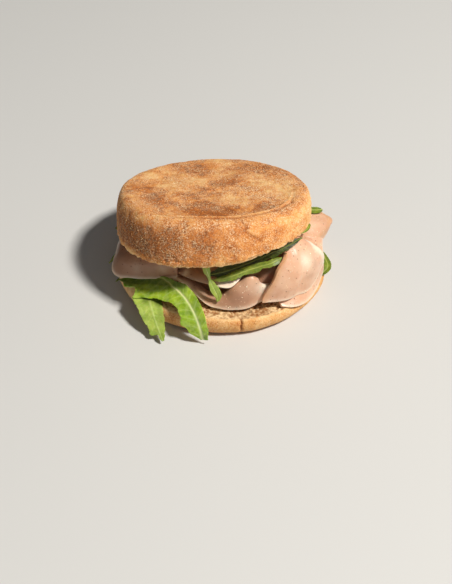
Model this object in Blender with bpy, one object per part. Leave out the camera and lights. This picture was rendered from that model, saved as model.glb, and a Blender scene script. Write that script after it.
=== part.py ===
"""A griddled english muffin, split and filled with folded ham slices and rocket leaves.

Sizes are in millimetres and are turned into metres as each mesh is made.  The origin lies on the
surface that the muffin stands on, under the middle of its lower half.  Angles are seen from above,
in degrees from +X, so the open front of the muffin faces -90 and its hinge-like back faces +90.
"""

import math
from dataclasses import dataclass

import bmesh
import bpy
from mathutils import Euler, Vector
from mathutils.geometry import interpolate_bezier

MM = 0.001

# Lower half: a round of bread, thicker at the front left, standing on a flat griddled base.
HEEL_RADIUS = 54.4
HEEL_BASE_RADIUS = 47.5
HEEL_CUT_HEIGHT = 9.6
HEEL_FALL_X = 0.055
HEEL_FALL_Y = 0.03
HEEL_COLUMNS = 52

# Upper half: tipped back on the filling, thicker at its left.
CROWN_CENTRE = (-3.1, 0.1, 29.3)
CROWN_TILT = -14.4
CROWN_THICKNESS = 20.1
CROWN_CUT_SLOPE = 0.107
CROWN_TOP_SLOPE = -0.03
CROWN_RADIUS = 49.5
CROWN_RIDGE_RADIUS = 40.3
CROWN_SWELL_HEIGHT = 3.0
CROWN_SHOULDER_POWER = 0.5
CROWN_FRONT_SLACK = 0.75
CROWN_COLUMNS = 52

# Filling.
HAM_THICKNESS = 1.6
HAM_ROOT_REACH = 6.0
HEAP_WIDTH = 17.0
LEAF_THICKNESS = 0.5


@dataclass
class Finish:
    """Plain shader values of one material."""

    name: str
    colour: tuple
    roughness: float


CRUST = Finish("crust", (0.56, 0.27, 0.09), 0.75)
CRUST_LIGHT = Finish("heel_crust", (0.62, 0.34, 0.13), 0.8)
HAM = Finish("ham", (0.80, 0.50, 0.38), 0.45)
ROCKET = Finish("rocket", (0.20, 0.36, 0.06), 0.5)


@dataclass
class Station:
    """One cross-section of a ham slice, as (reach from the middle, height) pairs.

    The slice leaves the middle, rises to its crest, turns over the belly and ends at the hem.
    swing turns the hem about the middle by that many degrees against the crest.
    """

    angle: float
    crest: tuple
    belly: tuple
    hem: tuple
    swing: float = 0.0


@dataclass
class HamSlice:
    """A slice that runs from the middle of the muffin out over its rim.

    inner places a point between the root and the crest, as (share of the reach, share of the climb).
    heap lifts that point by as many millimetres, most at the heap's middle angle.
    """

    name: str
    root_height: float
    stations: list
    inner: tuple = (0.6, 0.5)
    heap: float = 0.0
    heap_angle: float = 0.0
    tuck: float = 0.0
    ripple: float = 0.5
    columns: int = 15
    rows: int = 9


@dataclass
class Leaf:
    """A rocket leaf along a route of (x, y, z) points, with a lobed edge on each side."""

    name: str
    route: list
    face_start: tuple
    face_end: tuple
    left_width: float
    right_width: float
    lobes: float = 3.0
    lobe_depth: float = 0.3
    blunt: float = 0.35
    cup: float = 0.12
    stalk: float = 0.16
    steps: int = 16
    across: int = 4


# ---------------------------------------------------------------- curves


def smooth_path(points, count):
    """Resample control points evenly along a smooth curve that passes through all of them."""
    knots = [Vector(p) for p in points]
    tangents = []
    for index, knot in enumerate(knots):
        before = knots[max(index - 1, 0)]
        after = knots[min(index + 1, len(knots) - 1)]
        tangents.append((after - before) / (2.0 if 0 < index < len(knots) - 1 else 1.0))
    dense = []
    for index in range(len(knots) - 1):
        start, end = knots[index], knots[index + 1]
        piece = interpolate_bezier(start, start + tangents[index] / 3, end - tangents[index + 1] / 3,
                                   end, 12)
        dense.extend(piece if index == 0 else piece[1:])
    return even_spacing(dense, count)


def even_spacing(points, count):
    """Pick count points at equal distances along a dense polyline."""
    lengths = [0.0]
    for a, b in zip(points, points[1:]):
        lengths.append(lengths[-1] + (b - a).length)
    picked = []
    segment = 0
    for step in range(count):
        target = lengths[-1] * step / (count - 1)
        while segment < len(points) - 2 and lengths[segment + 1] < target:
            segment += 1
        span = lengths[segment + 1] - lengths[segment]
        share = (target - lengths[segment]) / span if span > 0 else 0.0
        picked.append(points[segment].lerp(points[segment + 1], min(max(share, 0.0), 1.0)))
    return picked


def ease(low, high, value):
    """Rise smoothly from 0 at low to 1 at high."""
    share = min(max((value - low) / (high - low), 0.0), 1.0)
    return share * share * (3 - 2 * share)


def waves(angle, terms):
    """Sum of (lobes, size, phase in degrees) waves at an angle in radians."""
    return sum(size * math.cos(lobes * angle - math.radians(phase)) for lobes, size, phase in terms)


def bumps(angle, terms):
    """Sum of (middle, width, size) bumps, middle and width in degrees, at an angle in radians."""
    total = 0.0
    for middle, width, size in terms:
        away = (math.degrees(angle) - middle + 180) % 360 - 180
        total += size * math.exp(-(away / width) ** 2)
    return total


# ---------------------------------------------------------------- meshes


def make_object(name, mesh_builder, finish, smooth_angle=40.0):
    """Turn a bmesh in millimetres into a shaded object in metres."""
    mesh = bpy.data.meshes.new(name)
    bmesh.ops.scale(mesh_builder, vec=(MM, MM, MM), verts=mesh_builder.verts)
    mesh_builder.to_mesh(mesh)
    mesh_builder.free()
    mesh.shade_smooth()
    mesh.set_sharp_from_angle(angle=math.radians(smooth_angle))
    obj = bpy.data.objects.new(name, mesh)
    bpy.context.scene.collection.objects.link(obj)
    obj.data.materials.append(make_material(name, finish))
    return obj


def make_material(name, finish):
    """Principled material of one piece."""
    material = bpy.data.materials.new(f"{name}_{finish.name}")
    material.use_nodes = True
    shader = material.node_tree.nodes["Principled BSDF"]
    shader.inputs["Base Color"].default_value = (*finish.colour, 1.0)
    shader.inputs["Roughness"].default_value = finish.roughness
    shader.inputs["Metallic"].default_value = 0.0
    return material


def spun(profile, columns):
    """Spin an (radius, height) profile, bottom to top, into a closed round."""
    form = bmesh.new()
    verts = [form.verts.new((radius, 0.0, height)) for radius, height in profile]
    edges = [form.edges.new(pair) for pair in zip(verts, verts[1:])]
    bmesh.ops.spin(form, geom=verts + edges, cent=(0, 0, 0), axis=(0, 0, 1), angle=math.tau,
                   steps=columns, use_merge=True, use_duplicate=False)
    bmesh.ops.remove_doubles(form, verts=form.verts, dist=1e-4)
    bmesh.ops.recalc_face_normals(form, faces=form.faces)
    return form


def sheet(rows):
    """Join rows of points into an open sheet of quads."""
    form = bmesh.new()
    grid = [[form.verts.new(point) for point in row] for row in rows]
    for near, far in zip(grid, grid[1:]):
        for a, b, c, d in zip(near, near[1:], far[1:], far):
            form.faces.new((a, b, c, d))
    bmesh.ops.recalc_face_normals(form, faces=form.faces)
    return form


def thicken(obj, thickness):
    """Give a sheet its thickness, half on each side."""
    solidify = obj.modifiers.new("thickness", "SOLIDIFY")
    solidify.thickness = thickness * MM
    solidify.offset = 0.0
    solidify.use_even_offset = True
    return obj


# ---------------------------------------------------------------- bread


def heel_cut(x, y):
    """Height of the lower half's cut face."""
    return HEEL_CUT_HEIGHT - HEEL_FALL_X * x - HEEL_FALL_Y * y


def make_heel():
    """Lower half: flat base, rounded crust side, torn cut face inside a slightly raised lip."""
    side = HEEL_CUT_HEIGHT
    profile = [(0.0, 0.0), (24.0, 0.0), (HEEL_BASE_RADIUS, 0.0), (51.2, 0.9), (53.4, 2.9),
               (HEEL_RADIUS, 5.6), (54.0, side - 2.4), (52.8, side - 0.5), (51.2, side + 0.1),
               (47.5, side - 0.7), (38.0, side - 0.4), (20.0, side - 0.2), (0.0, side - 0.1)]
    form = spun(profile, HEEL_COLUMNS)
    outline = ((2, 0.35, 40), (3, 0.3, 100), (5, 0.2, 10))
    torn = ((5, 0.22, 70), (8, 0.18, 20), (13, 0.16, 50))
    for vert in form.verts:
        x, y, z = vert.co
        reach, angle = math.hypot(x, y), math.atan2(y, x)
        if z > 0.01:
            grow = 1 + waves(angle, outline) / HEEL_RADIUS
            lift = (heel_cut(x, y) - side) * z / side
            rough = ease(10, 40, reach) * waves(angle + reach * 0.11, torn) * ease(side - 3, side - 1, z)
            vert.co = (x * grow, y * grow, z + lift + rough)
    return make_object("muffin_bottom", form, CRUST_LIGHT)


def crown_profile():
    """Cut face, rounded lip, full shoulder, raised ring and the flat griddled disc inside it."""
    top, ridge, swell = CROWN_THICKNESS, CROWN_RIDGE_RADIUS, CROWN_SWELL_HEIGHT
    profile = [(0.0, 0.5), (22.0, 0.4), (40.0, 0.2), (46.1, 0.0), (48.4, 0.7)]
    for degrees in (0, 12, 32, 52, 70, 82, 90):
        turn = math.radians(degrees)
        across = max(math.cos(turn), 0.0) ** CROWN_SHOULDER_POWER
        up = math.sin(turn) ** CROWN_SHOULDER_POWER
        profile.append((ridge + (CROWN_RADIUS - ridge) * across, swell + (top - swell) * up))
    return profile + [(ridge - 2.4, top - 0.7), (ridge - 8.0, top - 0.5), (18.0, top - 0.3),
                      (0.0, top - 0.4)]


def ease_shoulder(reach, height, angle):
    """Let the full shoulder fall away more softly towards the front."""
    ridge, swell = CROWN_RIDGE_RADIUS, CROWN_SWELL_HEIGHT
    if reach <= ridge or height < swell:
        return reach, height
    power = 1 + CROWN_FRONT_SLACK * bumps(angle, ((-90, 55, 1.0),))
    across = (reach - ridge) / (CROWN_RADIUS - ridge)
    up = (height - swell) / (CROWN_THICKNESS - swell)
    return (ridge + (CROWN_RADIUS - ridge) * across ** power,
            swell + (CROWN_THICKNESS - swell) * up ** power)


def make_crown():
    """Upper half: griddled disc in a raised ring, swelling side, sloping uneven cut face."""
    top = CROWN_THICKNESS
    form = spun(crown_profile(), CROWN_COLUMNS)
    outline = ((2, 0.15, 80), (3, 0.3, 200), (5, 0.2, 60))
    swell = ((2, 0.2, 30), (3, 0.15, 140), (7, 0.08, 0))
    lip = ((-50, 16, 1.2), (-92, 22, -0.7), (-12, 18, -0.9), (-170, 15, 0.5))
    pose = Euler((math.radians(CROWN_TILT), 0, 0)).to_matrix()
    centre = Vector(CROWN_CENTRE)
    for vert in form.verts:
        x, y, z = vert.co
        angle = math.atan2(y, x)
        reach, z = ease_shoulder(math.hypot(x, y), z, angle)
        x, y = reach * math.cos(angle), reach * math.sin(angle)
        grow = 1 + waves(angle, outline) / CROWN_RADIUS
        above = z / top
        slope = CROWN_CUT_SLOPE * x * (1 - above) + CROWN_TOP_SLOPE * y * above
        uneven = waves(angle, swell) * above + bumps(angle, lip) * (1 - above) * ease(30, 46, reach)
        vert.co = pose @ Vector((x * grow, y * grow, z + slope + uneven)) + centre
    return make_object("muffin_top", form, CRUST)


# ---------------------------------------------------------------- ham


def section(ham, station, rows):
    """Points of one station from the middle of the muffin to the hem."""
    crest_reach, crest_height = station.crest
    share, climb = ham.inner
    inner_reach = HAM_ROOT_REACH + share * (crest_reach - HAM_ROOT_REACH)
    inner_height = ham.root_height + climb * (crest_height - ham.root_height)
    inner_height += bumps(math.radians(station.angle), ((ham.heap_angle, HEAP_WIDTH, ham.heap),))
    outline = [(HAM_ROOT_REACH, ham.root_height), (inner_reach, inner_height),
               station.crest, station.belly, station.hem]
    if ham.tuck > 0:
        hem_reach, hem_height = station.hem
        outline.append((hem_reach - ham.tuck, hem_height - 0.05 * ham.tuck))
    flat = smooth_path([(reach, height, 0.0) for reach, height in outline], rows)
    points = []
    fall = crest_height - station.hem[1]
    passed_crest = False
    for reach, height, _ in flat:
        passed_crest = passed_crest or reach >= crest_reach
        drop = (crest_height - height) / fall if passed_crest and station.swing else 0.0
        turn = math.radians(station.angle + station.swing * max(drop, 0.0))
        points.append(Vector((reach * math.cos(turn), reach * math.sin(turn), height)))
    return points


def make_ham(ham):
    """One slice: sections at its stations, joined by smooth curves round the muffin."""
    sections = [section(ham, station, ham.rows) for station in ham.stations]
    lines = [smooth_path(line, ham.columns) for line in zip(*sections)]
    for row, line in enumerate(lines):
        share = ease(0.4, 1.0, row / (ham.rows - 1))
        for column, point in enumerate(line):
            point.z += ham.ripple * share * math.sin(2.1 * column + 0.8 * row + ham.root_height)
    return thicken(make_object(ham.name, sheet(lines), HAM, 60.0), HAM_THICKNESS)


HAM_SLICES = [
    HamSlice("ham_front", 11.4, [
        Station(-142, (24, 12.3), (28, 12.8), (31, 13.2)),
        Station(-130, (28, 13.4), (33, 14.4), (36.5, 15.4)),
        Station(-118, (31, 14.4), (36, 16.3), (39.4, 17.0)),
        Station(-108, (34, 14.6), (39, 16.3), (41.6, 16.6)),
        Station(-97, (36, 14.0), (40.5, 14.8), (43.2, 13.4)),
        Station(-88, (37.5, 15.2), (42, 15.6), (44.4, 12.6)),
        Station(-81, (39.4, 20.4), (43.2, 18.4), (45.0, 12.4)),
        Station(-73, (39.8, 25.2), (43.4, 20.8), (45.0, 12.2)),
        Station(-66, (39.6, 23.0), (42.8, 19.0), (44.4, 12.0)),
        Station(-59, (38.0, 17.0), (41.2, 15.4), (43.4, 12.0)),
        Station(-51, (32, 11.6), (37, 11.8), (41, 11.6)),
    ], inner=(0.8, 0.25), ripple=0.2, columns=20, rows=9),
    HamSlice("ham_outer", 17.0, [
        Station(-53, (38, 17.0), (44, 14.0), (48.6, 12.0)),
        Station(-47, (40, 22.0), (46.4, 14.8), (51.6, 11.4)),
        Station(-38, (43.4, 29.0), (48.4, 15.6), (53.6, 10.8)),
        Station(-28, (44.5, 31.4), (50.0, 17.6), (55.0, 10.6)),
        Station(-18, (45.0, 31.0), (52.6, 19.6), (55.2, 11.0)),
        Station(-9, (44.0, 30.0), (52.6, 21.4), (54.4, 13.4)),
        Station(-1, (43.0, 29.2), (51.0, 24.2), (52.8, 19.4)),
        Station(6, (42.0, 28.6), (49.2, 26.4), (51.6, 24.6)),
    ], ripple=0.15, columns=17),
    HamSlice("ham_right", 27.4, [
        Station(-46, (42.4, 36.2), (47.4, 27.0), (46.4, 14.4), -17),
        Station(-41, (43.0, 37.2), (50.4, 27.0), (49.6, 14.0), -13),
        Station(-36, (44.0, 37.6), (52.2, 27.0), (52.0, 14.0), -9),
        Station(-30, (44.5, 37.0), (53.2, 27.0), (53.6, 14.4), -6),
        Station(-24, (45.0, 35.8), (53.4, 27.4), (54.4, 17.6), -4),
        Station(-17, (45.5, 34.2), (52.0, 29.6), (55.0, 24.6), -1),
    ], inner=(0.47, 0.6), ripple=0.12, columns=15, rows=12),
    HamSlice("ham_back_right", 14.8, [
        Station(-12, (36, 21.0), (42, 19.0), (46, 16.0)),
        Station(-3, (38, 23.2), (46, 19.8), (49, 15.6)),
        Station(5, (40, 24.0), (50.2, 19.2), (51.8, 13.6)),
        Station(10, (41, 25.0), (54.2, 20.6), (55.4, 14.0)),
        Station(14, (41, 25.3), (58.4, 19.8), (59.2, 15.0)),
        Station(16.5, (41, 25.2), (60.2, 19.6), (61.2, 16.6)),
        Station(19.5, (40.8, 25.0), (57.0, 20.6), (59.0, 18.0)),
        Station(25, (39.8, 24.2), (52.0, 21.6), (55.2, 19.8)),
        Station(33, (37, 22.6), (45, 20.8), (49.4, 19.2)),
        Station(42, (33, 20.2), (40, 18.6), (44, 17.0)),
    ], ripple=0.08, columns=19),
    HamSlice("ham_inner", 19.2, [
        Station(-62, (28, 19.6), (33, 20.2), (36.2, 20.2)),
        Station(-56, (30, 22.2), (35, 23.6), (38.0, 23.2)),
        Station(-50, (31.5, 25.2), (36, 26.2), (39.0, 25.6)),
        Station(-43, (32, 28.0), (36, 29.4), (39.2, 30.2)),
    ], columns=8),
    HamSlice("ham_mid", 21.2, [
        Station(-132, (26, 20.6), (30, 20.6), (34, 20.4)),
        Station(-124, (29, 22.6), (34, 23.2), (38.6, 23.4)),
        Station(-115, (30, 23.4), (36, 24.4), (40.8, 24.6)),
        Station(-106, (30, 23.0), (36, 23.8), (40.8, 23.8)),
        Station(-97, (30, 22.6), (36, 23.0), (40.2, 22.8)),
        Station(-88, (30, 22.6), (36, 23.2), (39.6, 23.4)),
        Station(-80, (28, 22.4), (33, 22.8), (36.4, 22.6)),
        Station(-72, (26, 22.0), (30.6, 22.4), (33.6, 22.0)),
        Station(-64, (23, 21.6), (27, 21.6), (30, 21.4)),
    ], inner=(0.55, 0.5), heap=8.0, heap_angle=-86, ripple=0.3, columns=18, rows=8),
    HamSlice("ham_left", 23.6, [
        Station(-200, (36, 18.8), (45.4, 16.8), (42.6, 15.2)),
        Station(-180, (44, 21.0), (51.6, 18.4), (48.6, 16.0)),
        Station(-166, (46, 24.8), (57.0, 20.2), (54.0, 16.4)),
        Station(-155, (45, 27.4), (58.3, 20.5), (55.0, 16.2)),
        Station(-147, (42, 30.0), (55.0, 22.2), (52.4, 18.4)),
        Station(-139, (39, 31.6), (50.0, 25.4), (47.4, 21.6)),
        Station(-130, (36, 32.6), (47.4, 28.0), (45.6, 24.4)),
        Station(-122, (33, 33.0), (43.6, 30.6), (42.4, 28.0)),
        Station(-115, (30, 32.6), (38.0, 31.6), (36.8, 29.4)),
    ], tuck=9.0, ripple=0.15, columns=18, rows=13),
    HamSlice("ham_back", 15.2, [
        Station(49, (34, 20.0), (45.6, 15.6), (43.4, 10.0)),
        Station(62, (36, 19.8), (49.0, 15.2), (46.6, 9.8)),
        Station(82, (36, 18.8), (48.0, 14.4), (46.0, 10.0)),
        Station(104, (35, 17.6), (46.4, 13.6), (44.6, 10.6)),
        Station(128, (32, 18.0), (43.0, 14.4), (41.0, 11.6)),
        Station(150, (28, 18.2), (37.6, 15.6), (35.8, 12.6)),
    ], tuck=8.0, ripple=0.0, columns=14, rows=11),
]


# ---------------------------------------------------------------- rocket


def half_width(leaf, share):
    """Outline of one side of a leaf: narrow stalk, broad blade with lobes, pointed or blunt tip."""
    blade = math.sin(math.pi * min(share / 0.62, 1.0) / 2) if share < 0.62 else \
        leaf.blunt + (1 - leaf.blunt) * math.cos(math.pi * (share - 0.62) / 0.76)
    lobing = 1 - leaf.lobe_depth * (0.5 + 0.5 * math.cos(math.tau * leaf.lobes * share))
    return max(blade, leaf.stalk) * lobing


def make_leaf(leaf):
    """One leaf: a narrow lobed sheet laid along its route, its edges curling upwards a little."""
    spine = smooth_path(leaf.route, leaf.steps)
    start, end = Vector(leaf.face_start).normalized(), Vector(leaf.face_end).normalized()
    rows = []
    for step, point in enumerate(spine):
        share = step / (leaf.steps - 1)
        ahead = (spine[min(step + 1, leaf.steps - 1)] - spine[max(step - 1, 0)]).normalized()
        face = start.lerp(end, share)
        side = ahead.cross(face).normalized()
        face = side.cross(ahead).normalized()
        row = []
        for column in range(leaf.across + 1):
            offset = 2 * column / leaf.across - 1
            reach = leaf.right_width if offset > 0 else leaf.left_width
            width = offset * reach * half_width(leaf, share)
            row.append(point + side * width + face * (leaf.cup * abs(width)))
        rows.append(row)
    return thicken(make_object(leaf.name, sheet(rows), ROCKET, 60.0), LEAF_THICKNESS)


LEAVES = [
    Leaf("leaf_front_long", [(-8.6, -56.9, 4.6), (-10.4, -55.7, 9.8), (-12.8, -52.6, 15.0),
                             (-16.5, -46.8, 19.0), (-21.0, -41.2, 20.6), (-28.0, -34.8, 19.4),
                             (-38.0, -29.4, 15.7), (-45.0, -26.4, 14.0),
                             (-51.8, -23.2, 12.9)],
         (-0.3, -0.9, 0.35), (0.0, -0.05, 1.0), 9.8, 4.6, lobes=3.0, blunt=0.3, cup=0.04, stalk=0.42,
         steps=22),
    Leaf("leaf_front_short", [(-33.0, -30.4, 13.3), (-34.6, -37.0, 13.6), (-34.6, -43.0, 13.1),
                              (-33.4, -48.0, 10.4), (-32.0, -52.4, 6.6), (-30.6, -56.4, 2.8)],
         (0.06, -0.1, 1.0), (-0.5, -0.6, 0.6), 8.2, 7.4, lobes=1.2, blunt=0.3, cup=0.01, stalk=0.6,
         steps=18),
    Leaf("leaf_strip", [(-8.4, -36.4, 37.0), (-7.0, -40.0, 34.2), (-5.6, -42.6, 29.6),
                        (-4.2, -43.4, 25.4), (-3.2, -43.0, 21.6), (-1.9, -41.5, 17.2)],
         (0.2, -0.9, 0.5), (-0.6, -0.8, 0.2), 2.6, 2.6, lobes=1.0, lobe_depth=0.1, blunt=0.4,
         steps=10, across=2),
]


def polar_route(points):
    """Turn (angle, reach, height) points into (x, y, z)."""
    return [(reach * math.cos(math.radians(angle)), reach * math.sin(math.radians(angle)), height)
            for angle, reach, height in points]


LEAVES += [
    Leaf("leaf_under_crown", polar_route([(-102, 37.0, 29.2), (-89, 37.4, 28.9), (-77, 36.6, 29.6),
                                          (-66, 35.4, 30.8), (-57, 34.6, 31.8), (-50, 34.0, 32.4)]),
         (0.1, -0.75, 0.75), (0.5, -0.6, 0.8), 5.0, 5.4, lobes=3.2, lobe_depth=0.2, steps=15),
    Leaf("leaf_crown_edge", polar_route([(-88, 37.0, 35.4), (-75, 39.6, 37.0), (-62, 41.6, 38.4),
                                         (-50, 43.0, 39.6), (-40, 44.6, 40.0), (-31, 46.6, 39.6)]),
         (0.0, -0.3, 1.0), (-0.2, 0.0, 1.0), 3.6, 3.6, lobes=3.5, lobe_depth=0.25, steps=14, cup=0.0),
    Leaf("leaf_right_sliver", polar_route([(-24, 41.2, 37.1), (-14, 44.4, 35.5), (-4, 46.6, 33.6),
                                           (4, 47.6, 32.1)]),
         (0.2, 0.0, 1.0), (0.3, 0.0, 1.0), 1.1, 1.1, lobes=1.0, lobe_depth=0.1, steps=9, across=2,
         cup=0.0),
    Leaf("leaf_back_right", polar_route([(38, 34.0, 25.6), (31, 43.0, 25.2), (26, 51.0, 24.3),
                                         (22.5, 58.4, 22.5)]),
         (0.0, 0.0, 1.0), (0.2, -0.1, 1.0), 3.2, 3.2, lobes=1.0, lobe_depth=0.1, blunt=0.3, steps=9),
    Leaf("leaf_right_low", polar_route([(8, 38.0, 8.7), (1, 46.0, 8.3), (-5, 52.5, 8.3),
                                        (-9, 57.6, 8.0)]),
         (0.0, 0.0, 1.0), (0.4, -0.1, 0.9), 5.4, 5.4, lobes=1.0, lobe_depth=0.1, blunt=0.45, steps=10,
         cup=0.03),
    Leaf("leaf_left_high", polar_route([(160, 38.0, 21.5), (165, 48.0, 19.9), (168, 56.6, 17.2)]),
         (0.0, 0.0, 1.0), (-0.2, 0.0, 1.0), 2.4, 2.4, lobes=1.0, lobe_depth=0.1, blunt=0.3, steps=8,
         across=2, cup=0.0),
    Leaf("leaf_left_low", polar_route([(157, 38.0, 12.4), (170, 47.0, 13.3), (180, 53.6, 12.9),
                                       (187, 57.9, 9.2)]),
         (0.0, 0.0, 1.0), (-0.5, 0.0, 0.9), 3.0, 3.0, lobes=1.4, lobe_depth=0.2, blunt=0.3, steps=10,
         cup=0.0),
]


def clear_scene():
    """Remove what the scene holds."""
    for obj in list(bpy.data.objects):
        bpy.data.objects.remove(obj, do_unlink=True)


def main():
    """Build the muffin."""
    clear_scene()
    make_heel()
    for ham in HAM_SLICES:
        make_ham(ham)
    for leaf in LEAVES:
        make_leaf(leaf)
    make_crown()


main()
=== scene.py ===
"""Looks of a griddled english muffin, split and filled with folded ham slices and rocket leaves.

Lengths are in millimetres and become metres as each mesh is finished.  Angles are seen from above,
in degrees from +X, so the open front of the muffin faces -90.  Every piece but the loose
grains and crumbs is a finely modelled remake of one solid of the frame and stands in its place.
"""

import logging
import math
import random
from dataclasses import dataclass
from enum import Enum
from typing import Callable, Iterable, NamedTuple, Sequence

import bmesh
import bpy
from mathutils import Euler, Matrix, Vector, noise
from mathutils.geometry import interpolate_bezier


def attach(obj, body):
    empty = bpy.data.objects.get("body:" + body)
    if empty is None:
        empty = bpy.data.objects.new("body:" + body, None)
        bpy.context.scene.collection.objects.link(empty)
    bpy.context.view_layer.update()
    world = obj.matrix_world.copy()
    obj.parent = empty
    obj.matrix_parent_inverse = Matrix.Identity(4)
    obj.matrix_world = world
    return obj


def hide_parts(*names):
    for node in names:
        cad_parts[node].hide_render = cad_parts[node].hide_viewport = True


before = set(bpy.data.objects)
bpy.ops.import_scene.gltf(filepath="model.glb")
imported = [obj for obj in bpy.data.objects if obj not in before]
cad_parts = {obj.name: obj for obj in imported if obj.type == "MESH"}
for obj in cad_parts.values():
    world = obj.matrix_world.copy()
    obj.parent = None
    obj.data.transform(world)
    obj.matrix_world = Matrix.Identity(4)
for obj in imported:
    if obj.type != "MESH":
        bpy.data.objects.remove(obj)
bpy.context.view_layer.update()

LOG = logging.getLogger("muffin")
MM = 0.001
BODY = "root"
HAM_THICKNESS = 1.6
MERGE_GAP = 1e-4

Colour = tuple[float, float, float]
Place = tuple[float, float, float]
Pairs = Sequence[tuple[float, float]]
Triples = Sequence[tuple[float, float, float]]
Blots = Sequence[tuple[float, float, float, float, float]]


# ---------------------------------------------------------------- curves and fields


def ease(low: float, high: float, value: float) -> float:
    """Rise smoothly from 0 at low to 1 at high.

    Args:
        low: Value that gives 0.
        high: Value that gives 1.
        value: Where to read the curve.

    Returns:
        The height of the curve, from 0 to 1.
    """
    share = min(max((value - low) / (high - low), 0.0), 1.0)
    return share * share * (3 - 2 * share)


def peak(distance: float, width: float) -> float:
    """Bell curve: 1 at a distance of 0, falling away over width."""
    return math.exp(-((distance / width) ** 2))


def blotted(blots: Blots, point: Vector, sign: int = 1) -> float:
    """Sum at a place of the (x, y, z, width, share) spots whose share has the sign."""
    return sum(abs(share) * peak((point - Vector((x, y, z))).length, width)
               for x, y, z, width, share in blots if share * sign > 0)


def turn_between(angle: float, middle: float) -> float:
    """Signed turn in degrees from middle to an angle, the shorter way round."""
    return (angle - middle + 180) % 360 - 180


def bumps(angle: float, terms: Triples) -> float:
    """Sum of (middle, width, size) bumps round a circle, all angles in degrees."""
    return sum(size * peak(turn_between(angle, middle), width) for middle, width, size in terms)


def waves(angle: float, terms: Triples) -> float:
    """Sum of (lobes, size, phase) waves round a circle, all angles in degrees."""
    return sum(size * math.cos(math.radians(lobes * angle - phase)) for lobes, size, phase in terms)


def grain(point: Vector, size: float, octaves: int = 1, seed: float = 0.0) -> float:
    """Smooth random field.

    Args:
        point: Place in millimetres.
        size: Width of the field's patches in millimetres.
        octaves: How many finer layers are added up.
        seed: Shift that picks another field.

    Returns:
        About -1 to 1.
    """
    place = Vector((point[0] / size + seed, point[1] / size - seed, point[2] / size + 0.7 * seed))
    if octaves == 1:
        return noise.noise(place)
    return noise.fractal(place, 1.0, 2.0, octaves)


def pits(point: Vector, size: float, seed: float = 0.0) -> float:
    """Depth of round pores, 1 in a pore's middle and 0 away from it, at a place in millimetres.

    Args:
        point: The place.
        size: Spacing of the pores in millimetres.
        seed: Shifts the pattern.

    Returns:
        The depth.
    """
    place = Vector((point[0] / size + seed, point[1] / size, point[2] / size - seed))
    nearest = noise.voronoi(place)[0][0]
    return ease(0.62, 0.1, nearest) if nearest < 0.62 else 0.0


def read_pairs(pairs: Pairs, share: float) -> float:
    """Read a smooth line through (share, value) points, with the ends held.

    Args:
        pairs: The points, by rising share.
        share: Share to read at.

    Returns:
        The value there.
    """
    if share <= pairs[0][0]:
        return pairs[0][1]
    for (left, low), (right, high) in zip(pairs, pairs[1:]):
        if share <= right:
            return low + (high - low) * ease(left, right, share)
    return pairs[-1][1]


def polar(points: Triples) -> list[Place]:
    """Turn (angle, reach, height) points into (x, y, z)."""
    return [(reach * math.cos(math.radians(angle)), reach * math.sin(math.radians(angle)), height)
            for angle, reach, height in points]


def smooth_path(points: Iterable[Sequence[float]], count: int) -> list[Vector]:
    """Resample control points evenly along a smooth curve through all of them.

    Args:
        points: Control points.
        count: Number of points wanted.

    Returns:
        Points at equal distances along the curve.
    """
    knots = [Vector(point) for point in points]
    tangents = []
    for index in range(len(knots)):
        before = knots[max(index - 1, 0)]
        after = knots[min(index + 1, len(knots) - 1)]
        tangents.append((after - before) / (2.0 if 0 < index < len(knots) - 1 else 1.0))
    dense: list[Vector] = []
    for index in range(len(knots) - 1):
        start, end = knots[index], knots[index + 1]
        handle_a, handle_b = start + tangents[index] / 3, end - tangents[index + 1] / 3
        dense.extend(interpolate_bezier(start, handle_a, handle_b, end, 16)[0 if index == 0 else 1:])
    return even_spacing(dense, count)


def even_spacing(points: Sequence[Vector], count: int) -> list[Vector]:
    """Pick count points at equal distances along a dense polyline.

    Args:
        points: The polyline.
        count: Number of points.

    Returns:
        The points.
    """
    lengths = [0.0]
    for a, b in zip(points, points[1:]):
        lengths.append(lengths[-1] + (b - a).length)
    picked = []
    segment = 0
    for step in range(count):
        target = lengths[-1] * step / (count - 1)
        while segment < len(points) - 2 and lengths[segment + 1] < target:
            segment += 1
        span = lengths[segment + 1] - lengths[segment]
        share = (target - lengths[segment]) / span if span > 0 else 0.0
        picked.append(points[segment].lerp(points[segment + 1], min(max(share, 0.0), 1.0)))
    return picked


# ---------------------------------------------------------------- shader kit


class Signal:
    """A shader value that Python's arithmetic works on."""

    def __init__(self, recipe: "Recipe", socket: bpy.types.NodeSocket) -> None:
        """Wrap an output socket of a recipe's node."""
        self.recipe = recipe
        self.socket = socket

    def __add__(self, other: "Signal | float") -> "Signal":
        """Add a value."""
        return self.recipe.math("ADD", self, other)

    def __sub__(self, other: "Signal | float") -> "Signal":
        """Take a value away."""
        return self.recipe.math("SUBTRACT", self, other)

    def __mul__(self, other: "Signal | float") -> "Signal":
        """Multiply by a value."""
        return self.recipe.math("MULTIPLY", self, other)

    __radd__ = __add__
    __rmul__ = __mul__

    def clamp(self) -> "Signal":
        """Hold the signal between 0 and 1."""
        return self.recipe.node("ShaderNodeClamp", {}, {"Value": self})

    def step(self, low: float, high: float) -> "Signal":
        """Rise smoothly from 0 where the signal is low to 1 where it is high.

        Args:
            low: Value that gives 0.
            high: Value that gives 1.

        Returns:
            The new signal.
        """
        settings = {"interpolation_type": "SMOOTHSTEP"}
        return self.recipe.node("ShaderNodeMapRange", settings,
                                {"Value": self, "From Min": low, "From Max": high})


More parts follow.
